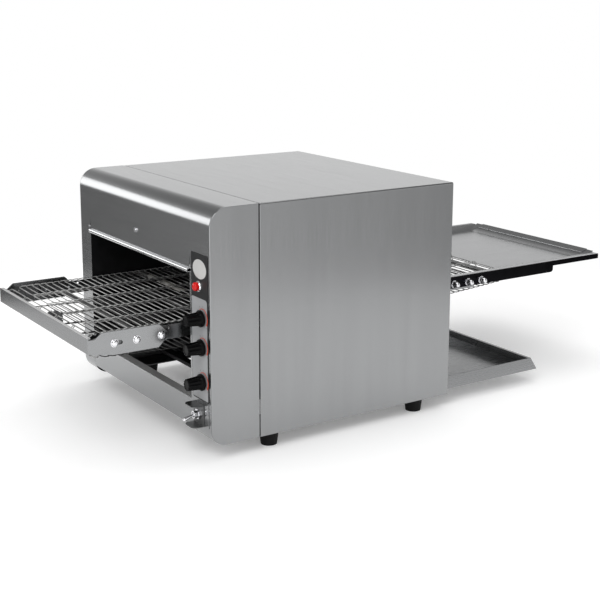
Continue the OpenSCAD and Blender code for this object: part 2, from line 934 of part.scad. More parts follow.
module arm_spacers() color(steel_light) place() {
  both_arms() difference() {
    screw_holes(spacer_r, rail_x, arm_in_x);
    screw_holes(screw_r + hole_gap, rail_x - over, arm_in_x + over);
  }
}

// Side outline of a front arm
module arm_outline() {
  cut_z = arm_nose_top - arm_nose_cut;
  polygon([[-front_reach, arm_nose_low], [-front_reach, cut_z],
    [-front_reach + arm_nose_flat, cut_z],
    [-front_reach + arm_slope, arm_top], [arm_end_y - arm_bevel, arm_top],
    [arm_end_y, arm_top - arm_bevel], [arm_end_y, arm_low + arm_chamfer],
    [arm_end_y - arm_chamfer, arm_low], [-front_reach + arm_foot_run, arm_low]]);
}

module front_bracket() color(steel_light) place() {
  both_arms() difference() {
    along_x(arm_in_x, arm_x) arm_outline();
    for (y = front_screw_y)
      rod_x(screw_r + hole_gap, arm_in_x - over, arm_x + over, y, screw_z);
    rod_x(screw_r + hole_gap, arm_in_x - over, arm_x + over, takeup_y, screw_z);
    rod_x(screw_r + hole_gap, arm_in_x - over, arm_x + over, takeup_y + takeup_travel, screw_z);
    block([arm_in_x - over, takeup_y, screw_z - screw_r - hole_gap],
      [arm_x + over, takeup_y + takeup_travel, screw_z + screw_r + hole_gap]);
  }
  block([table_x - arm_x, -front_reach, arm_nose_low],
    [table_x + arm_x, plate_t - front_reach, arm_nose_top]);
  block([table_x - arm_in_x, -front_reach, arm_nose_top - plate_t],
    [table_x + arm_in_x, plate_hem - front_reach, arm_nose_top]);
}

module rear_arms() color(dark_metal) place() {
  both_arms() difference() {
    along_x(arm_in_x, arm_x) difference() {
      translate([rear_arm_y, rear_arm_low])
        square([rear_arm_end - rear_arm_y, rear_arm_top - rear_arm_low]);
      difference() {
        translate([rear_arm_end - rear_arm_r, rear_arm_low - over])
          square([rear_arm_r + over, rear_arm_r + over]);
        translate([rear_arm_end - rear_arm_r, rear_arm_low + rear_arm_r]) circle(rear_arm_r);
      }
    }
    for (y = concat(rear_screw_y, [block_screw_y]))
      rod_x(screw_r + hole_gap, arm_in_x - over, arm_x + over, y, rear_screw_z);
  }
}

// Cross outline of the shelf's raised right wing and its flat rim
module wing_outline() {
  rim_z = shelf_top + shelf_rise;
  polygon([[shelf_fold_x, shelf_top], [rim_x, rim_z], [arm_in_x, rim_z],
    [arm_in_x, rim_z - shelf_t], [rim_x, rim_z - shelf_t], [shelf_fold_x, shelf_top - shelf_t]]);
}

module exit_shelf() color(steel_light) place() {
  fold_y = shelf_end_y - lip_run;
  wing_end = shelf_end_y - wing_end_inset;
  hem_y = rear_arm_end + slide_gap;
  rim_z = shelf_top + shelf_rise;
  translate([table_x, 0, 0])
    block([-shelf_fold_x, shelf_front_y, shelf_top - shelf_t], [shelf_fold_x, fold_y, shelf_top]);
  both_arms() {
    along_y(shelf_front_y, wing_end) wing_outline();
    block([rim_x, rim_y, rim_z - shelf_t], [arm_in_x, shelf_front_y + over, rim_z]);
    block([arm_in_x, hem_y, shelf_top], [arm_x, wing_end, rim_z]);
  }
  along_x(table_x - shelf_fold_x, table_x + shelf_fold_x) {
    hem_z = shelf_top + lip_rise * (1 - lip_hem / lip_run);
    polygon([[fold_y, shelf_top], [shelf_end_y - lip_hem, hem_z],
      [shelf_end_y - lip_hem, hem_z + shelf_t], [shelf_end_y, shelf_top + lip_rise + shelf_t],
      [shelf_end_y, shelf_top + lip_rise - shelf_t], [fold_y, shelf_top - shelf_t]]);
  }
}

// A dome-headed screw along X, its washer on the face at x0, its shank back to x1
module dome_screw(x0, x1, y, z) {
  rod_x(washer_r, x0, x0 + washer_t, y, z);
  rod_x(head_r, x0 + washer_t, x0 + washer_t + head_t / 2, y, z);
  translate([x0 + washer_t + head_t / 2, y, z]) rotate([0, 90, 0])
    cylinder(r1 = head_r, r2 = head_r / 2, h = head_t / 2);
  rod_x(screw_r, x1, x0 + washer_t, y, z);
}

// A stud along X from x1, with a washer on the face at x0 and a long cap nut over it
module cap_stud(x0, x1, y, z) {
  nut_x = x0 + washer_t;
  dome_x = nut_x + cap_nut_len;
  rod_x(washer_r, x0, nut_x, y, z);
  rod_x(cap_nut_r, nut_x, dome_x, y, z, $fn = 6);
  rod_x(cap_dome_r, dome_x, dome_x + cap_dome_len / 2, y, z);
  translate([dome_x + cap_dome_len / 2, y, z]) rotate([0, 90, 0])
    cylinder(r1 = cap_dome_r, r2 = cap_dome_r / 2, h = cap_dome_len / 2);
  rod_x(screw_r, x1, nut_x, y, z);
}

module bracket_screws() color(steel_light) place() {
  both_arms() {
    for (y = front_screw_y) {
      dome_screw(arm_x, rail_in_x - screw_nut_t, y, screw_z);
      rod_x(screw_nut_r, rail_in_x - screw_nut_t, rail_in_x, y, screw_z, $fn = 6);
    }
    for (y = rear_screw_y) {
      cap_stud(arm_x, rail_in_x - screw_nut_t, y, rear_screw_z);
      rod_x(screw_nut_r, rail_in_x - screw_nut_t, rail_in_x, y, rear_screw_z, $fn = 6);
    }
    cap_stud(arm_x, arm_in_x - block_t, block_screw_y, rear_screw_z);
  }
}

// The take-up that tightens the belt

module takeup_blocks() color(dark_metal) place() {
  both_arms() difference() {
    block([arm_in_x - block_t, front_roll_y - block_front, block_low],
      [arm_in_x, front_roll_y + block_back, block_top]);
    rod_x(shaft_r + run_gap, arm_in_x - block_t - over, arm_in_x - block_floor, front_roll_y,
      roll_z);
    rod_x(screw_r + hole_gap, arm_in_x - block_t - over, arm_in_x + over, takeup_y, screw_z);
  }
}

module takeup_screws() color(steel_light) place() {
  both_arms() dome_screw(arm_x, arm_in_x - block_t + block_floor, takeup_y, screw_z);
}

// Shafts and sprockets

// One toothed disc with its hub, round the axis at y and z
module belt_sprocket(x, y, z, tip, bore) {
  difference() {
    union() {
      rod_x(tip, x - sprocket_w / 2, x + sprocket_w / 2, y, z);
      rod_x(hub_r, x - hub_w / 2, x + hub_w / 2, y, z);
    }
    rod_x(bore + run_gap, x - hub_w, x + hub_w, y, z);
    for (i = [0 : sprocket_teeth - 1])
      translate([x - sprocket_w, y, z]) rotate([i * 360 / sprocket_teeth, 0, 0])
        rod_x(tooth_cut_r, 0, 2 * sprocket_w, 0, tip);
  }
}

module sprocket_set(y, z, bore) {
  for (share = sprocket_share) belt_sprocket(table_x + share * belt_w, y, z, tip_r, bore);
}

// A shaft that ends just short of the floors of its blocks' blind bores
module block_shaft(y, z) {
  end_x = arm_in_x - block_floor - slide_gap;
  rod_x(shaft_r, table_x - end_x, table_x + end_x, y, z);
}

module front_shaft() color(steel_light) place() {
  block_shaft(front_roll_y, roll_z);
}

module front_sprockets() color(dark_metal) place() {
  sprocket_set(front_roll_y, roll_z, shaft_r);
}

module rear_blocks() color(dark_metal) place() {
  both_arms() difference() {
    block([arm_in_x - block_t, rear_roll_y - rear_block_front, rear_block_low],
      [arm_in_x, rear_roll_y + rear_block_back, rear_roll_z + rear_block_over]);
    rod_x(shaft_r + run_gap, arm_in_x - block_t - over, arm_in_x - block_floor, rear_roll_y,
      rear_roll_z);
    rod_x(screw_r + hole_gap, arm_in_x - block_t - over, arm_in_x + over, block_screw_y,
      rear_screw_z);
  }
}

module rear_shaft() color(steel_light) place() {
  block_shaft(rear_roll_y, rear_roll_z);
}

module rear_rollers() color(dark_metal) place() {
  for (share = sprocket_share) {
    x = table_x + share * belt_w;
    difference() {
      union() {
        rod_x(roller_r, x - sprocket_w / 2, x + sprocket_w / 2, rear_roll_y, rear_roll_z);
        rod_x(hub_r, x - hub_w / 2, x + hub_w / 2, rear_roll_y, rear_roll_z);
      }
      rod_x(shaft_r + run_gap, x - hub_w, x + hub_w, rear_roll_y, rear_roll_z);
    }
  }
}

module drive_bush(x0, x1, flange0) {
  difference() {
    union() {
      rod_x(bush_r, x0, x1, drive_y, drive_z);
      rod_x(bush_flange_r, flange0, flange0 + bush_flange_t, drive_y, drive_z);
    }
    rod_x(drive_r + run_gap, x0 - over, x1 + over, drive_y, drive_z);
  }
}

module drive_bushes() color("#b08d4a") place() {
  drive_bush(left_x - sheet - bush_flange_t, left_x + bush_flange_t,
    left_x - sheet - bush_flange_t);
  drive_bush(right_x - bush_flange_t, right_x + sheet + bush_flange_t, right_x + sheet);
}

module drive_shaft() color(steel_light) place() {
  rod_x(drive_r, left_x - sheet - bush_flange_t - drive_end, chain_x + wheel_hub_w, drive_y,
    drive_z);
}

module drive_sprockets() color(dark_metal) place() {
  sprocket_set(drive_y, drive_z, drive_r);
}

// A chain sprocket round the axis at y and z
module chain_sprocket(y, z, pitch_r, teeth, bore) {
  tip = pitch_r - chain_half - chain_gap;
  difference() {
    union() {
      rod_x(tip, chain_x - wheel_t / 2, chain_x + wheel_t / 2, y, z);
      rod_x(wheel_hub_r, chain_x - wheel_t / 2, chain_x + wheel_hub_w - wheel_t, y, z);
    }
    rod_x(bore + run_gap, chain_x - wheel_t, chain_x + wheel_hub_w, y, z);
    for (i = [0 : teeth - 1])
      translate([chain_x - wheel_t, y, z]) rotate([i * 360 / teeth, 0, 0])
        rod_x(chain_half / 2, 0, 2 * wheel_t, 0, tip);
  }
}

module chain_wheel() color(dark_metal) place() {
  chain_sprocket(drive_y, drive_z, wheel_r, wheel_teeth, drive_r);
}

// Outline of the chain's loop at a distance off its pitch line, link by link
module chain_outline(off) {
  dy = drive_y - motor_y;
  dz = drive_z - motor_z;
  heading = atan2(dz, dy);
  lean = acos((pinion_r - wheel_r) / norm([dy, dz]));
  back = 180 - lean;
  links = [for (i = [-pinion_teeth / 2 : pinion_teeth / 2])
    heading + 180 + i * 2 * back / pinion_teeth];
  turns = [for (i = [-wheel_teeth / 2 : wheel_teeth / 2])
    heading + i * 2 * lean / wheel_teeth];
  polygon(concat(
    [for (a = links) [motor_y, motor_z] + (pinion_r + off) * [cos(a), sin(a)]],
    [for (a = turns) [drive_y, drive_z] + (wheel_r + off) * [cos(a), sin(a)]]));
}

module drive_chain() color(steel_dark) place() {
  along_x(chain_x - chain_w / 2, chain_x + chain_w / 2) difference() {
    chain_outline(chain_half);
    chain_outline(-chain_half);
  }
}

module gear_motor() color(steel_dark) place() {
  heading = atan2(drive_z - motor_z, drive_y - motor_y);
  difference() {
    union() {
      rod_x(motor_r, gearbox_x, gearbox_x + gearbox_t, motor_y, motor_z);
      rod_x(motor_core_r, gearbox_x + gearbox_t, skin_x - motor_end_gap, motor_y, motor_z);
      translate([right_x + sheet, motor_y, motor_z]) rotate([heading, 0, 0])
        for (y = [-post_along, post_along], z = [-post_out, post_out])
          rod_x(post_r, 0, gearbox_x - right_x - sheet + over, y, z);
    }
    rod_x(motor_shaft_r + run_gap, gearbox_x - over, gearbox_x + motor_bore, motor_y, motor_z);
  }
}

module motor_shaft() color(steel_light) place() {
  rod_x(motor_shaft_r, chain_x - wheel_t - over, gearbox_x + motor_bore - slide_gap, motor_y,
    motor_z);
  chain_sprocket(motor_y, motor_z, pinion_r, pinion_teeth, motor_shaft_r - run_gap);
}

// The fan behind the controls

module fan_frame() color(black_plastic) place() {
  y1 = panel_y;
  y0 = y1 - fan_t;
  difference() {
    block([fan_x - fan_w / 2, y0, fan_z - fan_w / 2], [fan_x + fan_w / 2, y1, fan_z + fan_w / 2]);
    rod_y(fan_bore_r, y0 - over, y1 + over, fan_x, fan_z);
  }
  difference() {
    union() {
      rod_y(fan_hub_r, y0, y0 + fan_arm_t, fan_x, fan_z);
      block([fan_x - fan_w / 2, y0, fan_z - fan_arm_w / 2],
        [fan_x + fan_w / 2, y0 + fan_arm_t, fan_z + fan_arm_w / 2]);
      block([fan_x - fan_arm_w / 2, y0, fan_z - fan_w / 2],
        [fan_x + fan_arm_w / 2, y0 + fan_arm_t, fan_z + fan_w / 2]);
    }
    rod_y(fan_pin_r + run_gap, y0 - over, y0 + fan_arm_t + over, fan_x, fan_z);
  }
}

module fan_rotor() color(black_plastic) place() {
  y0 = panel_y - fan_t + fan_arm_t + slide_gap;
  rod_y(fan_hub_r - sheet, y0, y0 + blade_h, fan_x, fan_z);
  rod_y(fan_pin_r, y0 - fan_arm_t - slide_gap, y0 + over, fan_x, fan_z);
  intersection() {
    rod_y(blade_r, y0, y0 + blade_h, fan_x, fan_z);
    translate([fan_x, y0 + blade_h / 2, fan_z])
      for (i = [0 : blades - 1])
        rotate([0, i * 360 / blades, 0]) rotate([0, 0, blade_tilt])
          block([-blade_t / 2, -blade_h, 0], [blade_t / 2, blade_h, fan_w / 2]);
  }
}

// The crumb tray

module crumb_tray() color(steel) place() {
  z0 = base_z + sheet + slide_gap;
  x1 = tray_w / 2;
  difference() {
    block([-x1, tray_front_y, z0], [x1, tray_end_y, z0 + tray_h]);
    block([-x1 + tray_t, tray_front_y + tray_t, z0 + tray_t],
      [x1 - tray_t, tray_end_y - tray_t, z0 + tray_h + over]);
  }
  block([-x1, tray_end_y - tray_flange, z0 + tray_h - tray_t], [x1, tray_end_y, z0 + tray_h]);
}

// The wire belt, one endless loop in four stretches

// How far the return run hangs below a straight line between y0 and y1
function hang(y, y0, y1, sag) = 4 * sag * (y - y0) * (y1 - y) / pow(y1 - y0, 2);

// Height of the return run's middle line at y
function sag_z(y) = y < drive_y
  ? return_z - hang(y, front_roll_y, drive_y, front_sag)
  : return_z + (rear_return_z - return_z) * (y - drive_y) / (rear_roll_y - drive_y)
    - hang(y, drive_y, rear_roll_y, rear_sag);

// Y of the cross wire number i of a run
function rung_y(i) = front_roll_y + (i + 0.5) * rung_step;

// The joints' rows and the cross wires of a run, along its middle line
module belt_run(line) {
  for (share = link_share) {
    x = table_x + share * (belt_w - link_w);
    along_x(x - link_w / 2, x + link_w / 2)
      polygon(concat([for (p = line) p + [0, link_half]],
        [for (i = [len(line) - 1 : -1 : 0]) line[i] - [0, link_half]]));
  }
}

module belt_rung(y, z) {
  rod_x(rung_r, table_x - belt_w / 2, table_x + belt_w / 2, y, z, $fn = 16);
}

module belt_upper_run() color(steel_light) place() {
  belt_run([[front_roll_y, run_z], [rear_roll_y, run_z]]);
  for (i = [0 : rungs - 1]) belt_rung(rung_y(i), run_z);
}

module belt_lower_run() color(steel_light) place() {
  ys = concat([front_roll_y], [for (i = [0 : rungs - 1]) rung_y(i)], [rear_roll_y]);
  belt_run([for (y = ys) [y, sag_z(y)]]);
  for (i = [0 : rungs - 1]) belt_rung(rung_y(i), sag_z(rung_y(i)));
}

// The stretch of belt of radius r round one shaft, towards the front or the rear
module belt_turn(y, z, r, shares, way) {
  for (share = link_share) {
    x = table_x + share * (belt_w - link_w);
    along_x(x - link_w / 2, x + link_w / 2) intersection() {
      difference() {
        translate([y, z]) circle(r + link_half);
        translate([y, z]) circle(r - link_half);
      }
      translate([way > 0 ? y : y - 2 * r, z - 2 * r]) square([2 * r, 4 * r]);
    }
  }
  for (share = shares) belt_rung(y + way * r * sin(180 * share), z + r * cos(180 * share));
}

module belt_end_turns() color(steel_light) place() {
  belt_turn(front_roll_y, roll_z, turn_r, front_turn_share, -1);
  belt_turn(rear_roll_y, rear_roll_z, rear_turn_r, rear_turn_share, 1);
}

front_panel();
end_plates();
casing_cover();
rear_panel();
cable_gland();
crossbar();
base_runners();
feet();
chamber_walls();
upper_reflector();
lower_grille();
hood_lip();
hood_fasteners();
control_label();
lamp_bezel();
pilot_lamp();
knob(knob_rise[0]);  // upper_heat_knob
knob(knob_rise[1]);  // lower_heat_knob
knob(knob_rise[2]);  // speed_knob
spindle(knob_rise[0]);  // upper_heat_spindle
spindle(knob_rise[1]);  // lower_heat_spindle
spindle(knob_rise[2]);  // speed_spindle
switch_body(knob_rise[0]);  // upper_heat_switch
switch_body(knob_rise[1]);  // lower_heat_switch
switch_body(knob_rise[2]);  // speed_regulator
switch_plate();
switch_guard();
toggle_bushing();
toggle_lever();
side_rails();
rail_brackets();
support_rods();
support_bars();
arm_spacers();
front_bracket();
rear_arms();
exit_shelf();
bracket_screws();
takeup_blocks();
takeup_screws();
front_shaft();
front_sprockets();
rear_blocks();
rear_shaft();
rear_rollers();
drive_bushes();
drive_shaft();
drive_sprockets();
chain_wheel();
drive_chain();
gear_motor();
motor_shaft();
fan_frame();
fan_rotor();
heater_tubes();
heater_caps();
crumb_tray();
belt_upper_run();
belt_lower_run();
belt_end_turns();
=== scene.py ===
"""Dresses the conveyor toaster: woven wire belt, brushed sheet metal, controls and studs."""
import json
import math

import bpy
from mathutils import Matrix, Vector


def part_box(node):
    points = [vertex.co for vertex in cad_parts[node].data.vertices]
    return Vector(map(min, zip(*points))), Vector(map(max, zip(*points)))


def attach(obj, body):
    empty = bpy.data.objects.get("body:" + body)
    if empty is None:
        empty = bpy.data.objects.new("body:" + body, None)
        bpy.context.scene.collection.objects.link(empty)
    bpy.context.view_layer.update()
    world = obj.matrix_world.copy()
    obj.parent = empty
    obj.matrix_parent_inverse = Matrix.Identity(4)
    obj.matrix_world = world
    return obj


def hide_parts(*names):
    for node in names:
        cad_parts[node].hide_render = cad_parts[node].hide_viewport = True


bl_info = {
    "name": "Conveyor Toaster",
    "version": (1, 0, 0),
    "blender": (4, 5, 0),
    "location": "View3D > Sidebar > Toaster",
    "description": "Models and finishes the visible pieces of a counter-top conveyor toaster",
    "category": "Object",
}

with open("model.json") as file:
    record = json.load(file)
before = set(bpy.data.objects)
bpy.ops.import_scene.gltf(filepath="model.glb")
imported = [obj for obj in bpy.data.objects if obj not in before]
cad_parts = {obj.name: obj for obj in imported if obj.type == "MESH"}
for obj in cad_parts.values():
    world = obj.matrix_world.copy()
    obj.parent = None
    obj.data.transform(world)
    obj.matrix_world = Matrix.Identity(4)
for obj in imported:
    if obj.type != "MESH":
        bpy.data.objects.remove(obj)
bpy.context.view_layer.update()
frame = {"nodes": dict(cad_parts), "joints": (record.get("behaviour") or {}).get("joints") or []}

MM = 0.001
FACE_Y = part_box("end_plates")[0].y
IMAGE_PX = 600

# Places read from the frame, in metres: the belt's middle and the height of its wires
BELT_LOW, BELT_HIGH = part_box("belt_upper_run")
TABLE_X = (BELT_LOW.x + BELT_HIGH.x) / 2
RUNG_R = (BELT_HIGH.z - BELT_LOW.z) / 2
BELT_Z = BELT_HIGH.z - RUNG_R


def deep(y):
    """A distance behind the fascia, in millimetres, as a Y of the frame."""
    return FACE_Y + y * MM


def linear(hex_colour):
    """An sRGB hex colour as linear values for a shader."""
    values = [int(hex_colour[i:i + 2], 16) / 255 for i in (1, 3, 5)]
    return [v / 12.92 if v <= 0.04045 else ((v + 0.055) / 1.055) ** 2.4 for v in values]


def colour_prop(name, description, hex_colour):
    """A colour that a user can change, with its sRGB default."""
    return bpy.props.FloatVectorProperty(name=name, description=description, subtype="COLOR",
                                         size=3, min=0, max=1, default=linear(hex_colour))


def length_prop(name, description, millimetres):
    """A length that a user can change, with its default in millimetres."""
    return bpy.props.FloatProperty(name=name, description=description, unit="LENGTH",
                                   subtype="DISTANCE", min=0, default=millimetres * MM)


class ToasterSizes(bpy.types.PropertyGroup):
    """Sizes of the pieces that the picture model adds."""
    wire_r: length_prop("Wire radius", "Radius of the belt's drawn wire", 0.88)
    wire_pitch: length_prop("Wire pitch", "Distance between two cross wires", 11.7)
    hook_half: length_prop("Hook half width", "Half the width of a hook at a joint row", 1.7)
    edge_soft: length_prop("Edge softness", "Radius of the broken edges of cut sheet", 0.4)
    knob_edge: length_prop("Knob edge", "Radius of the rounded edges of a knob", 0.6)
    print_t: length_prop("Print thickness", "Thickness of a printed film layer", 0.12)
    arc_in: length_prop("Arc inner radius", "Inner radius of a dial's coloured arc", 13.6)
    arc_w: length_prop("Arc width", "Width of a dial's coloured arc at its wide end", 2.6)
    badge_r: length_prop("Badge radius", "Radius of the bare disc on the label", 20.5)


class ToasterColours(bpy.types.PropertyGroup):
    """Colours of the finishes."""
    stainless: colour_prop("Stainless", "Brushed stainless sheet", "#9c9d9e")
    bright_steel: colour_prop("Bright steel", "Rolled steel of the arms and shelf", "#9b9c9d")
    black_steel: colour_prop("Black steel", "Blackened rear arms", "#141416")
    chamber: colour_prop("Chamber", "Heat-darkened sheet of the chamber", "#1f1f20")
    wire: colour_prop("Belt wire", "Drawn stainless wire of the belt", "#c2c2c1")
    chrome: colour_prop("Chrome", "Polished plating of studs and lever", "#77777a")
    moulding: colour_prop("Moulding", "Black moulded knobs", "#040405")
    label: colour_prop("Label film", "Dark upper film of the label", "#222324")
    panel: colour_prop("Panel film", "Grey lower film of the label", "#a9aaac")
    badge: colour_prop("Badge", "Bare disc of the label", "#cfcfcd")
    arc: colour_prop("Arc", "Coloured arc of a dial", "#d2492c")
    print_ink: colour_prop("Ink", "Ticks of a dial", "#3a3a3c")
    lamp: colour_prop("Lamp", "Red lens of the pilot lamp", "#e8110b")
    floor: colour_prop("Floor", "Pale floor under the toaster", "#f6f6f6")


# Small modelling tools

def deselect():
    """Goes back to object mode with nothing selected."""
    if bpy.context.object and bpy.context.object.mode != "OBJECT":
        bpy.ops.object.mode_set(mode="OBJECT")
    bpy.ops.object.select_all(action="DESELECT")


def pick(*objects):
    """Selects these objects alone, the last one active."""
    deselect()
    for obj in objects:
        obj.select_set(True)
    bpy.context.view_layer.objects.active = objects[-1]


def joined(name, objects):
    """Joins the objects into one mesh named name."""
    pick(*objects)
    bpy.ops.object.join()
    obj = bpy.context.object
    obj.name = name
    return obj


def copied(name, source):
    """A new object named name, with its own copy of the source's mesh."""
    obj = bpy.data.objects.new(name, source.data.copy())
    bpy.context.scene.collection.objects.link(obj)
    return obj


def applied(obj, kind, **settings):
    """Adds a modifier with its settings and applies it."""
    pick(obj)
    modifier = obj.modifiers.new(kind.lower(), kind)
    for key, value in settings.items():
        setattr(modifier, key, value)
    bpy.ops.object.modifier_apply(modifier=modifier.name)


def soft_edges(obj, width):
    """Rounds the edges of bent and cut sheet and leaves its flat faces flat."""
    pick(obj)
    bpy.ops.object.shade_smooth()
    applied(obj, "BEVEL", width=width, segments=2, limit_method="ANGLE",
            angle_limit=math.radians(30), harden_normals=False)
    # Large flat faces keep their own normal, so that flat sheet reflects as flat sheet.
    applied(obj, "WEIGHTED_NORMAL", mode="FACE_AREA", weight=100, keep_sharp=False)


def settle(obj, body, material, replaced=()):
    """Applies the object's place, gives it its finish and hangs it on its body."""
    pick(obj)
    bpy.ops.object.transform_apply(location=True, rotation=True, scale=True)
    obj.data.materials.clear()
    obj.data.materials.append(material)
    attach(obj, body)
    if replaced:
        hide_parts(*replaced)
    return obj


def turned(name, rings, sides):
    """A round piece along +Z, drawn out ring by ring from (radius, height) pairs."""
    deselect()
    bpy.ops.mesh.primitive_circle_add(vertices=sides, radius=rings[0][0], fill_type="NGON",
                                      location=(0, 0, rings[0][1]))
    obj = bpy.context.object
    obj.name = name
    bpy.ops.object.transform_apply(location=True)
    bpy.ops.object.mode_set(mode="EDIT")
    bpy.ops.mesh.select_all(action="SELECT")
    for (r0, z0), (r1, z1) in zip(rings, rings[1:]):
        bpy.ops.mesh.extrude_region_move(TRANSFORM_OT_translate={"value": (0, 0, z1 - z0)})
        share = r1 / r0
        bpy.ops.transform.resize(value=(share, share, 1), center_override=(0, 0, z1))
    bpy.ops.mesh.select_all(action="SELECT")
    bpy.ops.mesh.normals_make_consistent(inside=False)
    bpy.ops.object.mode_set(mode="OBJECT")
    return obj


def dome_rings(radius, height, base_z):
    """Rings of an elliptic dome from its foot to a small flat at its crown."""
    steps, crown = 6, 0.04
    angles = [math.pi / 2 * i / steps for i in range(steps + 1)]
    return [(radius * max(math.cos(a), crown), base_z + height * math.sin(a)) for a in angles]


def stand(obj, at, direction):
    """Turns a piece made along +Z to the direction and puts its origin at the point."""
    turn = Vector((0, 0, 1)).rotation_difference(Vector(direction)).to_matrix().to_4x4()
    obj.data.transform(Matrix.Translation(Vector(at)) @ turn)
    return obj


def thickened(obj, step):
    """Draws a flat face out by the step into a closed sheet."""
    bpy.ops.object.mode_set(mode="EDIT")
    bpy.ops.mesh.select_all(action="SELECT")
    bpy.ops.mesh.extrude_region_move(TRANSFORM_OT_translate={"value": step})
    bpy.ops.mesh.select_all(action="SELECT")
    bpy.ops.mesh.normals_make_consistent(inside=False)
    bpy.ops.object.mode_set(mode="OBJECT")
    return obj


def sheet_cut(name, outline, y, thickness):
    """A thin sheet in the X-Z plane, cut to the outline, from y forwards by the thickness."""
    deselect()
    bpy.ops.mesh.primitive_circle_add(vertices=len(outline), radius=1, fill_type="NGON",
                                      rotation=(math.radians(90), 0, 0))
    obj = bpy.context.object
    obj.name = name
    bpy.ops.object.transform_apply(rotation=True)
    for vertex, (x, z) in zip(obj.data.vertices, outline):
        vertex.co = (x, y, z)
    return thickened(obj, (0, -thickness, 0))


def thin_plate(name, points, thickness):
    """A thin plate through the points, in order round its edge, thickened downwards."""
    deselect()
    bpy.ops.mesh.primitive_circle_add(vertices=len(points), radius=1, fill_type="NGON")
    obj = bpy.context.object
    obj.name = name
    for vertex, place in zip(obj.data.vertices, points):
        vertex.co = place
    return thickened(obj, (0, 0, -thickness))


def smooth_turning(obj, degrees):
    """Shades a turned piece smooth, but for its edges sharper than the angle."""
    pick(obj)
    bpy.ops.object.shade_smooth_by_angle(angle=math.radians(degrees))


def corner_arc(cx, cz, r, start, end, steps):
    """Points of an arc from the start angle to the end angle, in degrees."""
    angles = [math.radians(start + (end - start) * i / steps) for i in range(steps + 1)]
    return [(cx + r * math.cos(a), cz + r * math.sin(a)) for a in angles]


def softened(node, name, body, material, width, reshape=None):
    """A copy of a sheet-metal node with its edges broken, which stands for the node. Where
    reshape is given, it takes each point's place and gives the one it is bent to."""
    obj = copied(name, frame["nodes"][node])
    pick(obj)
    bpy.ops.object.mode_set(mode="EDIT")
    bpy.ops.mesh.select_all(action="SELECT")
    bpy.ops.mesh.remove_doubles(threshold=MM / 1000)
    bpy.ops.mesh.dissolve_limited(angle_limit=math.radians(0.3))
    bpy.ops.object.mode_set(mode="OBJECT")
    if reshape:
        for vertex in obj.data.vertices:
            vertex.co = reshape(vertex.co.copy())
    soft_edges(obj, width)
    return settle(obj, body, material, [node])


def refinished(obj, material, chosen):
    """Gives the faces that the test chooses a further material."""
    obj.data.materials.append(material)
    for face in obj.data.polygons:
        if chosen(face):
            face.material_index = len(obj.data.materials) - 1


# Finishes

def add_node(tree, kind, sockets=(), **settings):
    """Adds a shader node: a socket given a value is set, one given an output is linked."""
    new = tree.nodes.new(kind)
    for key, value in settings.items():
        setattr(new, key, value)
    for key, value in dict(sockets).items():
        if isinstance(value, bpy.types.NodeSocket):
            tree.links.new(value, new.inputs[key])
        else:
            new.inputs[key].default_value = value
    return new


def finish(name, sockets, colour):
    """A material with one Principled shader, whose plain values sit on its own sockets."""
    made = bpy.data.materials.new(name)
    made.use_nodes = True
    shader = made.node_tree.nodes["Principled BSDF"]
    for key, value in sockets.items():
        shader.inputs[key].default_value = value
    shader.inputs["Base Color"].default_value = (*colour, 1)
    made.diffuse_color = (*colour, 1)
    return made, made.node_tree, shader


def grain(tree, scales, detail=2.0, rough=0.5):
    """Noise on Object coordinates; scales are cycles per metre along X, Y and Z."""
    place = add_node(tree, "ShaderNodeTexCoord").outputs["Object"]
    mapped = add_node(tree, "ShaderNodeMapping", {"Vector": place, "Scale": scales})
    noise = add_node(tree, "ShaderNodeTexNoise", {
        "Vector": mapped.outputs["Vector"], "Scale": 1.0, "Detail": detail, "Roughness": rough})
    return noise.outputs["Fac"]


def spread(tree, value, low, high):
    """The noise value, which lies about the middle of 0 to 1, spread from low to high."""
    ranged = add_node(tree, "ShaderNodeMapRange", {
        "Value": value, "From Min": 0.3, "From Max": 0.7, "To Min": low, "To Max": high})
    return ranged.outputs["Result"]


def tinted(tree, colour, factor):
    """The colour times a varying factor."""
    mixed = add_node(tree, "ShaderNodeMix", {6: (*colour, 1), 7: (0, 0, 0, 1)},
                     data_type="RGBA", blend_type="MIX")
    less = add_node(tree, "ShaderNodeMath", {0: 1.0, 1: factor}, operation="SUBTRACT")
    tree.links.new(less.outputs[0], mixed.inputs[0])
    return mixed.outputs[2]


def per_metre(across_mm, along_mm, axes):
    """Noise scales for streaks that run along the named axes."""
    return [1000 / (along_mm if axis in axes else across_mm) for axis in "XYZ"]


def brushed(name, colour, axes, roughness=0.2, depth=0.05):
    """Brushed stainless sheet: fine streaks along the rolling direction, which scatter light
    across it, and broad faint bands where the belt pressed harder."""
    made, tree, shader = finish(name, {"Metallic": 1.0}, colour)
    # The real streaks are 0.1 mm wide; they are drawn 0.6 mm wide, so that they show.
    streaks = grain(tree, per_metre(0.6, 60, axes))
    bands = grain(tree, per_metre(22, 400, axes), detail=1.0)
    both = add_node(tree, "ShaderNodeMath", {0: spread(tree, streaks, 1 - depth, 1.0),
                                             1: spread(tree, bands, 0.95, 1.0)},
                    operation="MULTIPLY").outputs[0]
    tree.links.new(tinted(tree, colour, both), shader.inputs["Base Color"])
    tree.links.new(spread(tree, streaks, roughness - 0.02, roughness + 0.04),
                   shader.inputs["Roughness"])
    return made


def mottled(name, colour, size_mm, low, roughness, sockets):
    """A finish whose colour and gloss vary in soft patches of the given size."""
    made, tree, shader = finish(name, sockets, colour)
    patches = grain(tree, [1000 / size_mm] * 3, detail=4.0, rough=0.6)
    tree.links.new(tinted(tree, colour, spread(tree, patches, low, 1.0)),
                   shader.inputs["Base Color"])
    tree.links.new(spread(tree, patches, *roughness), shader.inputs["Roughness"])
    return made


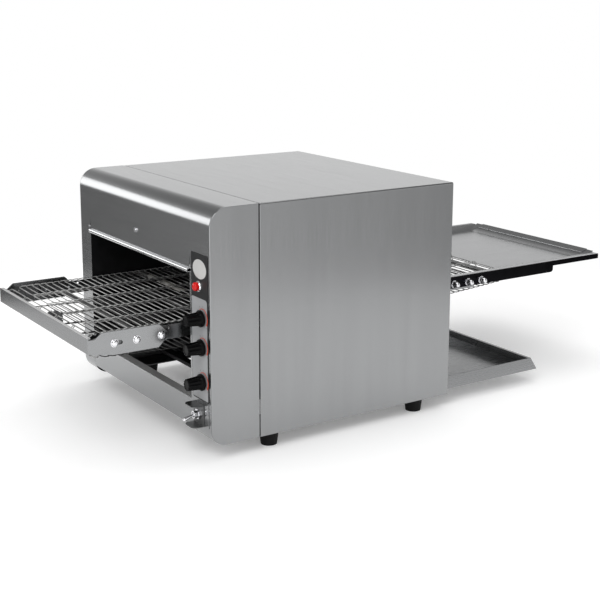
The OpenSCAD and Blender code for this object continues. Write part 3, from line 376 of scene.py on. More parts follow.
def heat_darkened(name, colour):
    """Stainless sheet that has been hot: dull brown-grey patches, little shine."""
    return mottled(name, colour, 35, 0.55, (0.42, 0.6), {"Metallic": 0.8})


def drawn_wire(name, colour):
    """Drawn stainless wire: smooth along its length, dulled by heat in places."""
    return mottled(name, colour, 18, 0.82, (0.34, 0.46), {"Metallic": 1.0})


def polished_chrome(name, colour):
    """Polished plating: mirror bright, with the faintest haze."""
    return mottled(name, colour, 9, 0.92, (0.06, 0.13), {"Metallic": 1.0})


def blackened_steel(name, colour):
    """Blackened steel strip: dark and glossy, almost a mirror."""
    return mottled(name, colour, 20, 0.7, (0.12, 0.22), {"Metallic": 1.0})


def moulded_phenolic(name, colour):
    """Moulded phenolic: near black, satin, with a fine skin from the mould."""
    made, tree, shader = finish(name, {"IOR": 1.6, "Roughness": 0.3,
                                       "Specular IOR Level": 0.07}, colour)
    # The mould's skin is drawn at 0.4 mm, which is coarser than the real one.
    skin = grain(tree, [1000 / 0.4] * 3, detail=3.0)
    tree.links.new(spread(tree, skin, 0.24, 0.36), shader.inputs["Roughness"])
    bump = add_node(tree, "ShaderNodeBump", {"Strength": 0.12, "Distance": 0.05 * MM,
                                             "Height": skin})
    tree.links.new(bump.outputs["Normal"], shader.inputs["Normal"])
    return made


def rubber(name, colour):
    """Moulded rubber: matt black with a dusty bloom."""
    return mottled(name, colour, 6, 0.6, (0.6, 0.78), {"IOR": 1.5, "Specular IOR Level": 0.2})


def printed_film(name, colour):
    """Printed polyester film: even colour under a satin skin."""
    return mottled(name, colour, 30, 0.93, (0.36, 0.46), {"IOR": 1.5,
                                                          "Specular IOR Level": 0.2})


def red_lens(name, colour):
    """Red moulded acrylic lens: clear, glossy and lit a little from its depth."""
    made, tree, shader = finish(name, {"IOR": 1.49, "Roughness": 0.12,
                                       "Specular IOR Level": 0.35,
                                       "Transmission Weight": 0.1}, colour)
    depth = grain(tree, [1000 / 2.5] * 3, detail=1.0)
    tree.links.new(tinted(tree, colour, spread(tree, depth, 0.82, 1.0)),
                   shader.inputs["Base Color"])
    return made


def quartz_tube(name):
    """Satin quartz tube of a heater: milky, with the coil's warmth showing through."""
    return mottled(name, linear("#c9bfae"), 4, 0.75, (0.2, 0.32), {"IOR": 1.46})


def unglazed_ceramic(name):
    """Unglazed ceramic cap: dull cream with a gritty skin."""
    return mottled(name, linear("#dad6ca"), 2, 0.9, (0.7, 0.85), {"IOR": 1.5})


def sintered_bronze(name):
    """Sintered bronze bush: oily brown-gold and porous."""
    return mottled(name, linear("#9a7b45"), 1.5, 0.7, (0.35, 0.5), {"Metallic": 1.0})


def painted_motor(name):
    """Grey stoved paint of the motor's can: an orange-peel skin."""
    return mottled(name, linear("#4b4d50"), 1.2, 0.85, (0.38, 0.5), {"IOR": 1.5})


def stage_white(name, colour):
    """Matt paper floor: the camera and the metal see it white, and it keeps the shadow."""
    made, tree, shader = finish(name, {"Roughness": 1.0, "Specular IOR Level": 0.0,
                                       "Emission Strength": 1.0}, colour)
    # Paper fibres of 3 mm give the floor a barely seen tooth.
    fibres = grain(tree, [1000 / 3] * 3)
    tree.links.new(tinted(tree, colour, spread(tree, fibres, 0.99, 1.0)),
                   shader.inputs["Base Color"])
    path = add_node(tree, "ShaderNodeLightPath")
    shown = add_node(tree, "ShaderNodeMath", {0: path.outputs["Is Camera Ray"],
                                              1: path.outputs["Is Glossy Ray"]},
                     operation="MAXIMUM")
    through = add_node(tree, "ShaderNodeMath", {0: shown.outputs[0],
                                                1: path.outputs["Is Transmission Ray"]},
                       operation="MAXIMUM")
    floor_lift = 0.2
    lift = add_node(tree, "ShaderNodeMath", {0: through.outputs[0], 1: floor_lift},
                    operation="MULTIPLY")
    colour_out = add_node(tree, "ShaderNodeCombineColor", {
        "Red": lift.outputs[0], "Green": lift.outputs[0], "Blue": lift.outputs[0]})
    tree.links.new(colour_out.outputs[0], shader.inputs["Emission Color"])
    return made


def finishes():
    """All the object's materials by short name, made on first use."""
    if "stainless_x" in bpy.data.materials:
        return bpy.data.materials
    c = bpy.context.scene.toaster_colours
    brushed("stainless_x", c.stainless, "X")
    brushed("stainless_z", c.stainless, "XZ")
    brushed("stainless_y", c.stainless, "Y")
    brushed("bright_steel", c.bright_steel, "Y", 0.22, 0.03)
    # The hood's lip gets a brighter colour as a painted highlight, and the table's front plate a
    # darker one as painted shade.
    brushed("highlit_lip_steel", linear("#c6c7c8"), "X", 0.18, 0.03)
    brushed("shaded_plate_steel", [v * 0.66 for v in c.stainless], "X")
    # Upward flanges get a pale colour with a rough satin gloss, as painted light from above.
    brushed("lit_top_steel", linear("#e0e0e0"), "X", 0.6, 0.03)
    # The tray is a little duller than the casing, and the plain steel parts are darker.
    brushed("tray_steel", [v * 1.05 for v in c.stainless], "Y", 0.26, 0.04)
    brushed("dull_steel", [v * 0.45 for v in c.stainless], "Y", 0.34)
    heat_darkened("chamber_steel", c.chamber)
    drawn_wire("belt_wire", c.wire)
    # The return run and its carriers, under the upper run, get the wire colour darkened to a sixth
    # as painted shade.
    drawn_wire("shaded_wire", [v * 0.16 for v in c.wire])
    polished_chrome("chrome", c.chrome)
    blackened_steel("black_steel", c.black_steel)
    moulded_phenolic("knob_black", c.moulding)
    rubber("foot_rubber", linear("#121213"))
    printed_film("label_film", c.label)
    printed_film("panel_film", c.panel)
    printed_film("badge_white", c.badge)
    printed_film("arc_ink", c.arc)
    printed_film("tick_ink", c.print_ink)
    red_lens("lamp_red", c.lamp)
    quartz_tube("quartz")
    unglazed_ceramic("ceramic")
    sintered_bronze("bronze")
    painted_motor("motor_paint")
    return bpy.data.materials


NODE_FINISH = {
    "stainless_x": ["front_panel", "crossbar", "rear_panel"],
    "stainless_z": ["end_plates", "casing_cover", "switch_plate"],
    "stainless_y": ["side_rails"],
    "tray_steel": ["crumb_tray"],
    # The hood's lip takes the brighter finish that paints its highlight.
    "highlit_lip_steel": ["hood_lip"],
    "bright_steel": ["front_bracket", "exit_shelf", "arm_spacers", "bracket_screws",
                     "takeup_screws", "front_shaft", "rear_shaft", "drive_shaft",
                     "motor_shaft", "upper_heat_spindle", "lower_heat_spindle",
                     "speed_spindle"],
    "dull_steel": ["base_runners", "rail_brackets", "takeup_blocks", "rear_blocks",
                   "front_sprockets", "rear_rollers", "drive_sprockets", "chain_wheel",
                   "drive_chain", "switch_guard"],
    "belt_wire": ["belt_upper_run", "belt_end_turns"],
    # The carriers and the return run take the darkened wire finish, which paints the shade under
    # the upper run.
    "shaded_wire": ["support_rods", "support_bars", "belt_lower_run"],
    "chamber_steel": ["chamber_walls", "upper_reflector", "lower_grille"],
    "chrome": ["lamp_bezel", "toggle_bushing", "toggle_lever", "hood_fasteners"],
    "black_steel": ["rear_arms"],
    "knob_black": ["upper_heat_knob", "lower_heat_knob", "speed_knob", "upper_heat_switch",
                   "lower_heat_switch", "speed_regulator", "cable_gland", "fan_frame",
                   "fan_rotor"],
    "foot_rubber": ["feet"],
    "label_film": ["control_label"],
    "lamp_red": ["pilot_lamp"],
    "quartz": ["heater_tubes"],
    "ceramic": ["heater_caps"],
    "bronze": ["drive_bushes"],
    "motor_paint": ["gear_motor"],
}


class TOASTER_OT_finishes(bpy.types.Operator):
    """Gives every carried-over node its finish"""
    bl_idname = "toaster.finishes"
    bl_label = "Finish the nodes"

    def execute(self, context):
        made = finishes()
        for name, nodes in NODE_FINISH.items():
            for node in nodes:
                obj = frame["nodes"][node]
                obj.data.materials.clear()
                obj.data.materials.append(made[name])
        return {"FINISHED"}


class TOASTER_OT_sheet_metal(bpy.types.Operator):
    """Breaks the edges of the visible sheet-metal pieces"""
    bl_idname = "toaster.sheet_metal"
    bl_label = "Sheet metal"

    def execute(self, context):
        made = finishes()
        soft = context.scene.toaster_sizes.edge_soft
        # A face whose normal is longer than this along an axis looks along that axis.
        square = 0.9
        parts = [
            ("end_plates", "nose_end_plates", "steel", "stainless_z", soft * 3),
            ("rear_arms", "rear_table_arms", "dark_steel", "black_steel", soft),
            ("side_rails", "conveyor_rails", "steel", "stainless_y", soft),
            ("switch_plate", "toggle_plate", "steel", "stainless_z", soft / 2),
            ("switch_guard", "toggle_guard", "steel_dark", "dull_steel", soft),
        ]
        for node, name, slot, material, width in parts:
            softened(node, name, "toaster", made[material], width)

        nose = softened("front_panel", "nose_shell", "toaster",
                        made["stainless_x"], soft)
        # The opening's left return takes the chamber's dark finish as painted shade inside the
        # opening.
        refinished(nose, made["chamber_steel"],
                   lambda face: face.normal.x > square and face.center.y > deep(2)
                   and face.center.x < 0)
        table_front = softened("front_bracket", "table_bracket", "toaster",
                               made["bright_steel"], soft * 1.6)
        # The bracket's front and back faces take the darker steel as painted shade.
        refinished(table_front, made["shaded_plate_steel"], lambda face: abs(face.normal.y) > square)
        # The bracket's upward bend takes the pale finish, a painted highlight from above.
        refinished(table_front, made["lit_top_steel"],
                   lambda face: face.normal.z > 0.5 and face.center.y < deep(-160))
        bar = softened("crossbar", "lower_crossbar", "toaster",
                       made["stainless_x"], soft)
        # The crossbar's top faces take the pale finish, painted light from above.
        refinished(bar, made["lit_top_steel"],
                   lambda face: face.normal.z > square and face.center.y > deep(1.5))

        casing_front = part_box("casing_cover")[0].y
        joint_gap = 1.3 * MM

        def drawn_back(p):
            """The casing's front edge stands a little off the nose, as an open joint."""
            if p.y < casing_front + 0.2 * MM:
                p.y += joint_gap
            return p

        softened("casing_cover", "casing_shell", "toaster", made["stainless_z"],
                 soft * 1.6, drawn_back)

        tray_low, tray_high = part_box("crumb_tray")
        lean = 8 * MM

        def leaned(p):
            """The tray's walls lean inwards, so that crumbs stay in."""
            share = (p.z - tray_low.z) / (tray_high.z - tray_low.z)
            if abs(p.x) > tray_high.x - lean:
                p.x -= math.copysign(lean * share, p.x)
            if p.y > tray_high.y - lean:
                p.y -= lean * share
            return p

        softened("crumb_tray", "pull_out_tray", "tray", made["tray_steel"], soft,
                 leaned)

        lip_share = 0.55

        def drawn_in(p):
            """The hood's lip is rolled tight against the fascia."""
            if p.y < FACE_Y:
                p.y = FACE_Y + (p.y - FACE_Y) * lip_share
            return p

        # The lip's brighter finish is a painted highlight.
        softened("hood_lip", "hood_rolled_lip", "toaster", made["highlit_lip_steel"],
                 soft / 2, drawn_in)
        table = softened("exit_shelf", "exit_table", "toaster",
                         made["bright_steel"], soft)
        arm_low, arm_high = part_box("rear_arms")
        inner = (arm_high.x - arm_low.x) / 2 - 2.2 * MM
        # The table's outer flanges carry on the black of the arms behind their ends.
        refinished(table, made["black_steel"],
                   lambda face: abs(face.center.x - TABLE_X) > inner
                   and face.center.y > arm_high.y)

        # Small plates close the corners between the table's end lip and its wings.
        shelf_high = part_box("exit_shelf")[1]
        table_top = shelf_high.z - 12.5 * MM
        fold_half, wing_reach, plate_t = 149.5 * MM, 17 * MM, 1.2 * MM
        lip_foot_y, lip_end_y = shelf_high.y - 35 * MM, shelf_high.y - 1 * MM
        wing_end_y = shelf_high.y - 5 * MM
        corners = []
        for side in (-1, 1):
            fold_x = TABLE_X + side * fold_half
            wing_x = fold_x + side * wing_reach
            points = [(fold_x, lip_foot_y, table_top + 0.4 * MM),
                      (fold_x, lip_end_y, table_top + 11.2 * MM),
                      (wing_x, lip_end_y, table_top + 11.2 * MM),
                      (wing_x, wing_end_y, table_top + 9.8 * MM)]
            corners.append(thin_plate("lip_corner", points, plate_t))
        settle(joined("exit_lip_corners", corners), "toaster", made["bright_steel"])
        return {"FINISHED"}


# The woven belt

def strand_path(sizes, half_width, joints):
    """Points of one cross wire, hooked round the next wire at every joint row.
    The wire lies along X at y = 0, and its hooks reach one pitch towards +Y."""
    pitch, r, h = sizes.wire_pitch, sizes.wire_r, sizes.hook_half
    edge = half_width - 2 * r
    curl = [(0.0, pitch + 1.2 * r, -0.6 * r), (0.5 * r, pitch + 1.9 * r, 0.7 * r),
            (1.6 * r, pitch + 0.9 * r, 1.9 * r), (2.4 * r, pitch * 0.55, 1.7 * r),
            (1.4 * r, 1.2 * r, 0.5 * r), (-1.0 * r, 0.0, 0.0)]
    hook = [(-h - 1.5 * r, 0.0, 0.0), (-h, 1.6 * r, 0.5 * r), (-0.8 * h, pitch - 1.2 * r, 1.6 * r),
            (-0.5 * h, pitch + 1.7 * r, 0.9 * r), (0.5 * h, pitch + 1.7 * r, -0.9 * r),
            (0.8 * h, pitch - 1.2 * r, -1.6 * r), (h, 1.6 * r, -0.5 * r),
            (h + 1.5 * r, 0.0, 0.0)]
    points = [(-edge + 1.5 * r - x, y, z) for x, y, z in curl]
    for joint in joints:
        points += [(joint + x, y, z) for x, y, z in hook]
    points += [(edge - 1.5 * r + x, y, z) for x, y, z in reversed(curl)]
    return points


def wire(name, points, radius):
    """A wire along the points, with six sides, as a mesh."""
    deselect()
    bpy.ops.curve.primitive_nurbs_path_add()
    obj = bpy.context.object
    obj.name = name
    curve = obj.data
    curve.splines.remove(curve.splines[0])
    spline = curve.splines.new("POLY")
    spline.points.add(len(points) - 1)
    for point, place in zip(spline.points, points):
        point.co = (*place, 1)
    curve.bevel_depth = radius
    curve.bevel_resolution = 1
    curve.use_fill_caps = True
    pick(obj)
    bpy.ops.object.convert(target="MESH")
    bpy.ops.object.shade_smooth()
    return bpy.context.object


def measured_return_line():
    """The return run's middle line, read from the node's own cross wires."""
    node = frame["nodes"]["belt_lower_run"].data
    row_size = 4 * MM
    rows = {}
    for vertex in node.vertices:
        if vertex.co.x < TABLE_X - (BELT_HIGH.x - BELT_LOW.x) / 2 + MM / 10:
            key = round(vertex.co.y / row_size)
            rows.setdefault(key, []).append((vertex.co.y, vertex.co.z))
    line = []
    for key in sorted(rows):
        ys = [p[0] for p in rows[key]]
        zs = [p[1] for p in rows[key]]
        line.append(((min(ys) + max(ys)) / 2, (min(zs) + max(zs)) / 2))
    return line


RETURN_LINE = measured_return_line()


def return_height(y):
    """Height of the return run's middle line, as the sagging belt hangs in the frame."""
    for (y0, z0), (y1, z1) in zip(RETURN_LINE, RETURN_LINE[1:]):
        if y <= y1:
            return z0 + (z1 - z0) * (y - y0) / (y1 - y0)
    return RETURN_LINE[-1][1]


def run_of(name, strand, count, step, first_y):
    """A run of count strands, one step apart, laid flat at height zero."""
    obj = copied(name, strand)
    applied(obj, "ARRAY", count=count, use_relative_offset=False, use_constant_offset=True,
            constant_offset_displace=(0, step, 0))
    obj.data.transform(Matrix.Translation((TABLE_X, first_y, 0)))
    return obj


class TOASTER_OT_belt(bpy.types.Operator):
    """Weaves the wire belt: upper run, sagging return run and the turns at both ends"""
    bl_idname = "toaster.belt"
    bl_label = "Wire belt"

    def execute(self, context):
        made = finishes()
        sizes = context.scene.toaster_sizes
        length = BELT_HIGH.y - BELT_LOW.y
        count = round(length / sizes.wire_pitch)
        step = length / count
        half = (BELT_HIGH.x - BELT_LOW.x) / 2
        joints = [half * share for share in (-0.6, -0.2, 0.2, 0.6)]
        strand = wire("strand", strand_path(sizes, half, joints), sizes.wire_r)

        upper = run_of("woven_belt_top", strand, count, step, BELT_LOW.y + step / 2)
        upper.data.transform(Matrix.Translation((0, 0, BELT_Z)))
        settle(upper, "toaster", made["belt_wire"], ["belt_upper_run"])

        # The return run is the same weave upside down, so its faces are turned again.
        lower = run_of("woven_belt_return", strand, count, step, BELT_LOW.y + step / 2)
        for vertex in lower.data.vertices:
            vertex.co.z = return_height(vertex.co.y) - vertex.co.z
        lower.data.flip_normals()
        # The return run's darkened wire finish is painted shade under the upper run.
        settle(lower, "toaster", made["shaded_wire"], ["belt_lower_run"])

        # Each turn is a half circle; the shares are the places of its wires along it.
        turns = []
        front_z = (BELT_Z + RETURN_LINE[0][1]) / 2
        rear_z = (BELT_Z + RETURN_LINE[-1][1]) / 2
        for roll_y, roll_z, side, shares in (
                (BELT_LOW.y, front_z, -1, (0.12, 0.34, 0.56, 0.78)),
                (BELT_HIGH.y, rear_z, 1, (0.17, 0.5, 0.83))):
            radius = BELT_Z - roll_z
            for share in shares:
                bent = copied("bent_strand", strand)
                for vertex in bent.data.vertices:
                    x, y, z = vertex.co
                    angle = math.pi * share + y / radius
                    out = radius + z
                    vertex.co = (TABLE_X + x, roll_y + side * out * math.sin(angle),
                                 roll_z + out * math.cos(angle))
                if side < 0:
                    bent.data.flip_normals()
                turns.append(bent)
        both = joined("woven_belt_turns", turns)
        settle(both, "toaster", made["belt_wire"], ["belt_end_turns"])
        bpy.data.objects.remove(strand)
        return {"FINISHED"}


# The controls

def knob_shape(sizes, length, root_r, tip_r, skirt_r, skirt_t):
    """A fluted knob along +Z: a skirt, a tapering grip with scooped flutes and a flat top."""
    flutes, grip_steps = 12, 8
    edge = sizes.knob_edge
    rings = [(skirt_r, 0.0), (skirt_r, skirt_t - edge), (skirt_r - edge, skirt_t),
             (root_r + edge, skirt_t), (root_r, skirt_t + edge)]
    low = skirt_t + edge
    high = length - edge
    for i in range(1, grip_steps + 1):
        share = i / grip_steps
        rings.append((root_r + (tip_r - root_r) * share, low + (high - low) * share))
    rings += [(tip_r - edge, length), (tip_r * 0.72, length), (tip_r * 0.68, length - edge)]
    obj = turned("knob", rings, flutes * 6)
    flute_depth, fade_height = 1.3 * MM, 3 * MM
    for vertex in obj.data.vertices:
        x, y, z = vertex.co
        r = math.hypot(x, y)
        if z < skirt_t + edge * 1.5 or r < tip_r * 0.75:
            continue
        phase = (math.atan2(y, x) * flutes / (2 * math.pi)) % 1.0
        scoop = max(0.0, math.sin(math.pi * phase)) ** 1.5
        fade = min(1.0, (z - skirt_t - edge) / fade_height)
        share = (r - flute_depth * scoop * fade) / r
        vertex.co = (x * share, y * share, z)
    smooth_turning(obj, 35)
    return obj


class TOASTER_OT_knobs(bpy.types.Operator):
    """Models the three fluted knobs"""
    bl_idname = "toaster.knobs"
    bl_label = "Knobs"

    def execute(self, context):
        made = finishes()
        sizes = context.scene.toaster_sizes
        root_share, tip_share, skirt_t = 0.84, 0.7, 3 * MM
        low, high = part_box("upper_heat_knob")
        skirt_r = (high.x - low.x) / 2
        model = knob_shape(sizes, high.y - low.y, root_share * skirt_r, tip_share * skirt_r,
                           skirt_r, skirt_t)
        for node, body in (("upper_heat_knob", "upper_heat"), ("lower_heat_knob", "lower_heat"),
                           ("speed_knob", "speed")):
            low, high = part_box(node)
            centre = (low + high) / 2
            knob = copied(node.replace("_knob", "_fluted_knob"), model)
            stand(knob, (centre.x, high.y, centre.z), (0, -1, 0))
            settle(knob, body, made["knob_black"], [node])
        bpy.data.objects.remove(model)
        return {"FINISHED"}


def dial_print(sizes, x, z, y):
    """The coloured arc, which tapers towards its start, and the ticks round one dial."""
    arc_in, arc_w, t = sizes.arc_in, sizes.arc_w, sizes.print_t
    steps = 28
    start, end = 128.0, -38.0
    taper = 0.65
    inner = corner_arc(x, z, arc_in, start, end, steps)
    outer = []
    for i in range(steps + 1):
        angle = math.radians(end + (start - end) * i / steps)
        r = arc_in + arc_w * (1 - taper * i / steps)
        outer.append((x + r * math.cos(angle), z + r * math.sin(angle)))
    arc = sheet_cut("arc", inner + outer, y, t)
    # Eleven ticks share the 270 degrees that the knob turns; every other one is short.
    long_tick, short_tick, tick_half, clearance = (v * MM for v in (2.2, 1.4, 0.25, 0.7))
    ticks = []
    for i in range(11):
        angle = math.radians(225 - 27 * i)
        across = Vector((-math.sin(angle), math.cos(angle))) * tick_half
        r0 = arc_in + arc_w + clearance
        r1 = r0 + (long_tick if i % 2 == 0 else short_tick)
        out = Vector((math.cos(angle), math.sin(angle)))
        centre = Vector((x, z))
        corners = [centre + out * r0 - across, centre + out * r1 - across,
                   centre + out * r1 + across, centre + out * r0 + across]
        ticks.append(sheet_cut("tick", [tuple(c) for c in corners], y, t))
    return arc, ticks


class TOASTER_OT_label(bpy.types.Operator):
    """Lays the grey panel film, the bare disc and the dial prints on the label"""
    bl_idname = "toaster.label"
    bl_label = "Label"

    def execute(self, context):
        made = finishes()
        sizes = context.scene.toaster_sizes
        low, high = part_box("control_label")
        t = sizes.print_t
        margin, right_margin = 1.2 * MM, 3.2 * MM
        x0, x1 = low.x + margin, high.x - right_margin
        film_top = low.z + 158 * MM
        r_left, r_right = 2.5 * MM, 5 * MM
        outline = [(x0, low.z + margin), (x1, low.z + margin)]
        outline += corner_arc(x1 - r_right, film_top - r_right, r_right, 0, 90, 6)
        outline += corner_arc(x0 + r_left, film_top - r_left, r_left, 90, 180, 4)
        panel = sheet_cut("dial_panel_film", outline, low.y, t)
        settle(panel, "toaster", made["panel_film"])

        bezel_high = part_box("lamp_bezel")[1]
        # The disc is an oval, a little right of the label's middle and clear of the lamp.
        off_middle, lamp_gap, tall = 0.6 * MM, 3.0 * MM, 0.72
        badge_x = (low.x + high.x) / 2 + off_middle
        badge_z = bezel_high.z + tall * sizes.badge_r + lamp_gap
        disc = turned("bare_disc", [(sizes.badge_r, 0.0), (sizes.badge_r, 0.6 * t),
                                    (sizes.badge_r - 0.4 * t, t)], 64)
        disc.data.transform(Matrix.Diagonal((1, tall, 1, 1)))
        stand(disc, (badge_x, low.y, badge_z), (0, -1, 0))
        settle(disc, "toaster", made["badge_white"])

        arcs, ticks = [], []
        for node in ("upper_heat_knob", "lower_heat_knob", "speed_knob"):
            knob_low, knob_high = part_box(node)
            centre = (knob_low + knob_high) / 2
            arc, marks = dial_print(sizes, centre.x, centre.z, low.y - t)
            arcs.append(arc)
            ticks += marks
        settle(joined("dial_arcs", arcs), "toaster", made["arc_ink"])
        settle(joined("dial_ticks", ticks), "toaster", made["tick_ink"])
        return {"FINISHED"}


class TOASTER_OT_lamp(bpy.types.Operator):
    """Models the pilot lamp's domed lens and its rounded bezel"""
    bl_idname = "toaster.lamp"
    bl_label = "Pilot lamp"

    def execute(self, context):
        made = finishes()
        low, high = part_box("pilot_lamp")
        ring_low, ring_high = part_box("lamp_bezel")
        centre = (ring_low + ring_high) / 2
        lens_r, body_r = 6.5 * MM, 6 * MM
        reach = ring_low.y - low.y
        straight, domed = reach * 0.55, reach * 0.45
        rings = [(lens_r, 0.0), (lens_r, straight)]
        rings += dome_rings(lens_r, domed, straight)[1:]
        lens = turned("lamp_lens", rings, 40)
        stand(lens, (centre.x, ring_low.y, centre.z), (0, -1, 0))
        body = turned("lamp_body", [(body_r, 0.0), (body_r, high.y - ring_low.y)], 24)
        stand(body, (centre.x, ring_low.y, centre.z), (0, 1, 0))
        whole = joined("pilot_lamp_lens", [body, lens])
        smooth_turning(whole, 40)
        settle(whole, "toaster", made["lamp_red"], ["pilot_lamp"])

        r = (ring_high.x - ring_low.x) / 2
        t = ring_high.y - ring_low.y
        bezel = turned("bezel", [(r, 0.0), (r, 0.35 * t), (0.96 * r, 0.7 * t), (0.88 * r, t),
                                 (0.8 * r, t), (0.775 * r, 0.8 * t)], 40)
        stand(bezel, (centre.x, ring_high.y, centre.z), (0, -1, 0))
        smooth_turning(bezel, 40)
        bezel.name = "lamp_chrome_bezel"
        settle(bezel, "toaster", made["chrome"], ["lamp_bezel"])
        return {"FINISHED"}


class TOASTER_OT_toggle(bpy.types.Operator):
    """Models the toggle's lever with its ball and pin"""
    bl_idname = "toaster.toggle"
    bl_label = "Toggle switch"

    def execute(self, context):
        made = finishes()
        hinge = next(j for j in frame["joints"] if j["name"] == "lever_throw")
        pivot = Vector(hinge["pos_m"])
        low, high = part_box("toggle_lever")
        drop = math.radians(15)
        neck_r, waist_r, tip_r, ball_r, pin_r = (r * MM for r in (2.0, 2.2, 2.75, 3.5, 1.0))
        length = (pivot.y - low.y) / math.cos(drop) - 0.5 * MM
        rings = [(neck_r, 0.0), (neck_r, 4 * MM), (waist_r, 0.45 * length),
                 (tip_r, 0.8 * length)]
        rings += dome_rings(tip_r, 0.14 * length, 0.86 * length)
        lever = turned("lever", rings, 24)
        smooth_turning(lever, 50)
        stand(lever, pivot, (0, -math.cos(drop), -math.sin(drop)))
        bpy.ops.mesh.primitive_uv_sphere_add(segments=24, ring_count=12, radius=ball_r,
                                             location=pivot)
        ball = bpy.context.object
        bpy.ops.object.transform_apply(location=True)
        bpy.ops.object.shade_smooth()
        bpy.ops.mesh.primitive_cylinder_add(vertices=16, radius=pin_r, depth=high.x - low.x,
                                            location=pivot, rotation=(0, math.radians(90), 0))
        pin = bpy.context.object
        bpy.ops.object.transform_apply(location=True, rotation=True)
        whole = joined("chrome_toggle_lever", [pin, ball, lever])
        settle(whole, "lever", made["chrome"], ["toggle_lever"])
        return {"FINISHED"}


# Studs and the stage

def dome_head(head_r, head_t, washer_r, washer_t):
    """A dome head on its washer, along +Z from the sheet's face."""
    rings = [(washer_r, 0.0), (washer_r, washer_t * 0.7), (washer_r - washer_t * 0.3, washer_t),
             (head_r, washer_t), (head_r, washer_t + head_t * 0.2)]
    rings += dome_rings(head_r * 0.98, head_t * 0.8, washer_t + head_t * 0.2)[1:]
    return turned("dome_head", rings, 32)


def cap_nut(across_r, hex_t, dome_r, dome_t, washer_r, washer_t):
    """A long cap nut on its washer, along +Z from the sheet's face."""
    washer = turned("washer", [(washer_r, 0.0), (washer_r, washer_t)], 32)
    flats = turned("flats", [(across_r * 0.92, washer_t), (across_r, washer_t + hex_t * 0.12),
                             (across_r, washer_t + hex_t * 0.85),
                             (across_r * 0.86, washer_t + hex_t)], 6)
    base = washer_t + hex_t * 0.9
    dome = turned("dome", [(dome_r, base), (dome_r, base + dome_t * 0.35)]
                  + dome_rings(dome_r, dome_t * 0.75, base + dome_t * 0.35)[1:], 32)
    return joined("cap_nut", [washer, flats, dome])


def shank(radius, depth):
    """The threaded end of a screw, along -Z from the sheet's face."""
    rings = [(radius * 0.85, -depth), (radius, -depth + radius * 0.3), (radius, 0.0)]
    return turned("shank", rings, 20)


class TOASTER_OT_fasteners(bpy.types.Operator):
    """Models the dome heads of the front arms and the long cap nuts of the rear arms"""
    bl_idname = "toaster.fasteners"
    bl_label = "Fasteners"

    def execute(self, context):
        made = finishes()
        arm_low, arm_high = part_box("front_bracket")
        rear_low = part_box("rear_arms")[0]
        half = (arm_high.x - arm_low.x) / 2
        front_z = arm_high.z - 18 * MM
        rear_z = rear_low.z + 8 * MM
        # Where the screws sit behind the fascia, in millimetres, as in the solids
        fixed_ys, takeup_y, rear_ys = (-87, -46), -123, (526, 558, 589)
        shank_r, shank_t, takeup_shank_t = 3 * MM, 15 * MM, 10 * MM
        washer_r, washer_t = 6.5 * MM, 1 * MM

        def dome_screw(depth):
            """A dome-headed screw with its washer and a shank of this depth."""
            return joined("screw", [shank(shank_r, depth),
                                    dome_head(5.5 * MM, 4 * MM, washer_r, washer_t)])

        nut = cap_nut(6 * MM, 6 * MM, 5 * MM, 7 * MM, washer_r, washer_t)
        stud = joined("stud", [shank(shank_r, shank_t), nut])
        fixed, sliding = [], []
        for model, ys, z, row in ((dome_screw(shank_t), fixed_ys, front_z, fixed),
                                  (dome_screw(takeup_shank_t), (takeup_y,), front_z, sliding),
                                  (stud, rear_ys, rear_z, fixed)):
            smooth_turning(model, 40)
            for side in (-1, 1):
                row += [stand(copied("screw", model), (TABLE_X + side * half, deep(y), z),
                              (side, 0, 0)) for y in ys]
            bpy.data.objects.remove(model)
        settle(joined("arm_studs", fixed), "toaster", made["chrome"],
               ["bracket_screws"])
        settle(joined("takeup_studs", sliding), "takeup", made["chrome"],
               ["takeup_screws"])
        return {"FINISHED"}


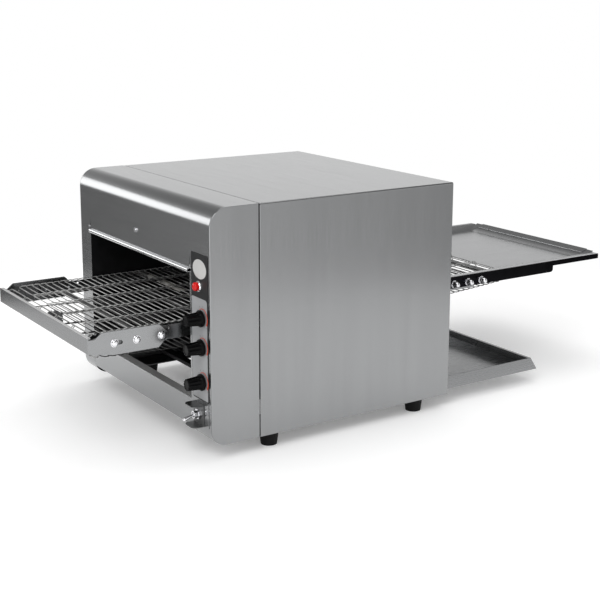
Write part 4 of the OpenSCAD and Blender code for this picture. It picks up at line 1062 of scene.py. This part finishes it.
class TOASTER_OT_stage(bpy.types.Operator):
    """Sets the pale floor, the soft studio light and the camera"""
    bl_idname = "toaster.stage"
    bl_label = "Stage"

    def execute(self, context):
        scene = context.scene
        colours = scene.toaster_colours
        deselect()
        floor_r = 1.15
        bpy.ops.mesh.primitive_circle_add(vertices=96, radius=floor_r, fill_type="NGON")
        floor = context.object
        floor.name = "pale_floor"
        floor.data.materials.append(stage_white("floor_paper", colours.floor))

        world = bpy.data.worlds.new("studio")
        scene.world = world
        world.use_nodes = True
        tree = world.node_tree
        background = tree.nodes["Background"]
        direction = add_node(tree, "ShaderNodeTexCoord").outputs["Generated"]
        split = add_node(tree, "ShaderNodeSeparateXYZ", {"Vector": direction})
        x, y, z = (split.outputs[i] for i in range(3))

        def maths(a, b, operation):
            """The result of a Math node on two values."""
            return add_node(tree, "ShaderNodeMath", {0: a, 1: b}, operation=operation).outputs[0]

        # What the metal mirrors: below the horizon a room that is bright on the camera's
        # right and dim on its left, and above it an even wall that darkens upwards. The
        # heights are those of a direction one unit long.
        dim, bright, ceiling = 0.18, 2.4, 0.3
        horizon, wall_top, ceiling_start = 0.06, 0.22, 0.46
        side = maths(maths(x, 0.85, "MULTIPLY"), maths(y, -1.0, "MULTIPLY"), "ADD")
        side = maths(side, 0.6, "ADD")
        side = add_node(tree, "ShaderNodeClamp", {"Value": side, "Min": dim, "Max": bright})
        up = add_node(tree, "ShaderNodeMapRange", {
            "Value": z, "From Min": -horizon, "From Max": horizon, "To Min": 0.0, "To Max": 1.0})
        high = add_node(tree, "ShaderNodeMapRange", {
            "Value": z, "From Min": wall_top, "From Max": ceiling_start, "To Min": 1.0,
            "To Max": ceiling})
        mirror = add_node(tree, "ShaderNodeMix", {0: up.outputs[0], 2: side.outputs[0],
                                                  3: high.outputs[0]}, data_type="FLOAT")
        # Matt surfaces get an even fill, and the camera sees plain white.
        matt_fill = 0.66
        path = add_node(tree, "ShaderNodeLightPath")
        shiny = maths(path.outputs["Is Glossy Ray"], path.outputs["Is Transmission Ray"],
                     "MAXIMUM")
        seen = add_node(tree, "ShaderNodeMix", {0: shiny, 2: matt_fill, 3: mirror.outputs[0]},
                        data_type="FLOAT")
        strength = add_node(tree, "ShaderNodeMix", {0: path.outputs["Is Camera Ray"],
                                                    2: seen.outputs[0], 3: 1.0},
                            data_type="FLOAT")
        background.inputs["Color"].default_value = (1, 1, 1, 1)
        tree.links.new(strength.outputs[0], background.inputs["Strength"])

        # Each softbox has its place and size in metres and its watts, and faces the toaster.
        aim = Vector((0, 0, 0.2))
        lamps = [
            ("left_softbox", (-1.96, deep(-952), 0.68), (0.9, 0.76), 4.4),
            ("key_softbox", (1.5, -1.6, 2.0), (1.4, 1.4), 24),
            ("top_softbox", (-0.3, 0.3, 2.6), (1.8, 1.8), 18),
        ]
        for name, place, size, watts in lamps:
            deselect()
            bpy.ops.object.light_add(type="AREA", location=place)
            lamp = context.object
            lamp.name = name
            lamp.data.shape = "RECTANGLE"
            lamp.data.size, lamp.data.size_y = size
            lamp.data.energy = watts
            lamp.rotation_euler = (aim - Vector(place)).to_track_quat("-Z", "Y").to_euler()

        deselect()
        # The camera was fitted to the photo: angles in degrees, focal length in pixels.
        azimuth, pitch, roll = 56.726, -11.672, -0.159
        focal_px, sensor = 1206.8, 36
        bpy.ops.object.camera_add(location=(1740.6 * MM, deep(-832), 698.6 * MM), rotation=(
            math.radians(90 + pitch), math.radians(roll), math.radians(azimuth)))
        camera = context.object
        camera.data.sensor_width = sensor
        camera.data.lens = focal_px / IMAGE_PX * sensor
        camera.data.shift_y = -0.1
        camera.data.clip_end = 20
        scene.camera = camera
        scene.view_settings.view_transform = "Standard"
        return {"FINISHED"}


class TOASTER_PT_panel(bpy.types.Panel):
    """Lists the toaster's pieces in the sidebar"""
    bl_idname = "TOASTER_PT_panel"
    bl_label = "Conveyor Toaster"
    bl_space_type = "VIEW_3D"
    bl_region_type = "UI"
    bl_category = "Toaster"

    def draw(self, context):
        column = self.layout.column()
        for group in (context.scene.toaster_sizes, context.scene.toaster_colours):
            for key in group.__annotations__:
                column.prop(group, key)
        for operator in OPERATORS:
            column.operator(operator.bl_idname)


OPERATORS = (TOASTER_OT_finishes, TOASTER_OT_sheet_metal, TOASTER_OT_belt, TOASTER_OT_knobs,
             TOASTER_OT_label, TOASTER_OT_lamp, TOASTER_OT_toggle, TOASTER_OT_fasteners,
             TOASTER_OT_stage)
CLASSES = (ToasterSizes, ToasterColours) + OPERATORS + (TOASTER_PT_panel,)


def register():
    """Registers the classes and hangs their settings on the scene."""
    for cls in CLASSES:
        bpy.utils.register_class(cls)
    bpy.types.Scene.toaster_sizes = bpy.props.PointerProperty(type=ToasterSizes)
    bpy.types.Scene.toaster_colours = bpy.props.PointerProperty(type=ToasterColours)


def unregister():
    """Takes the settings and the classes away again."""
    del bpy.types.Scene.toaster_sizes
    del bpy.types.Scene.toaster_colours
    for cls in reversed(CLASSES):
        bpy.utils.unregister_class(cls)


def main():
    """Builds and dresses the toaster."""
    register()
    for operator in OPERATORS:
        group, name = operator.bl_idname.split(".")
        getattr(getattr(bpy.ops, group), name)()


if __name__ == "__main__":
    main()
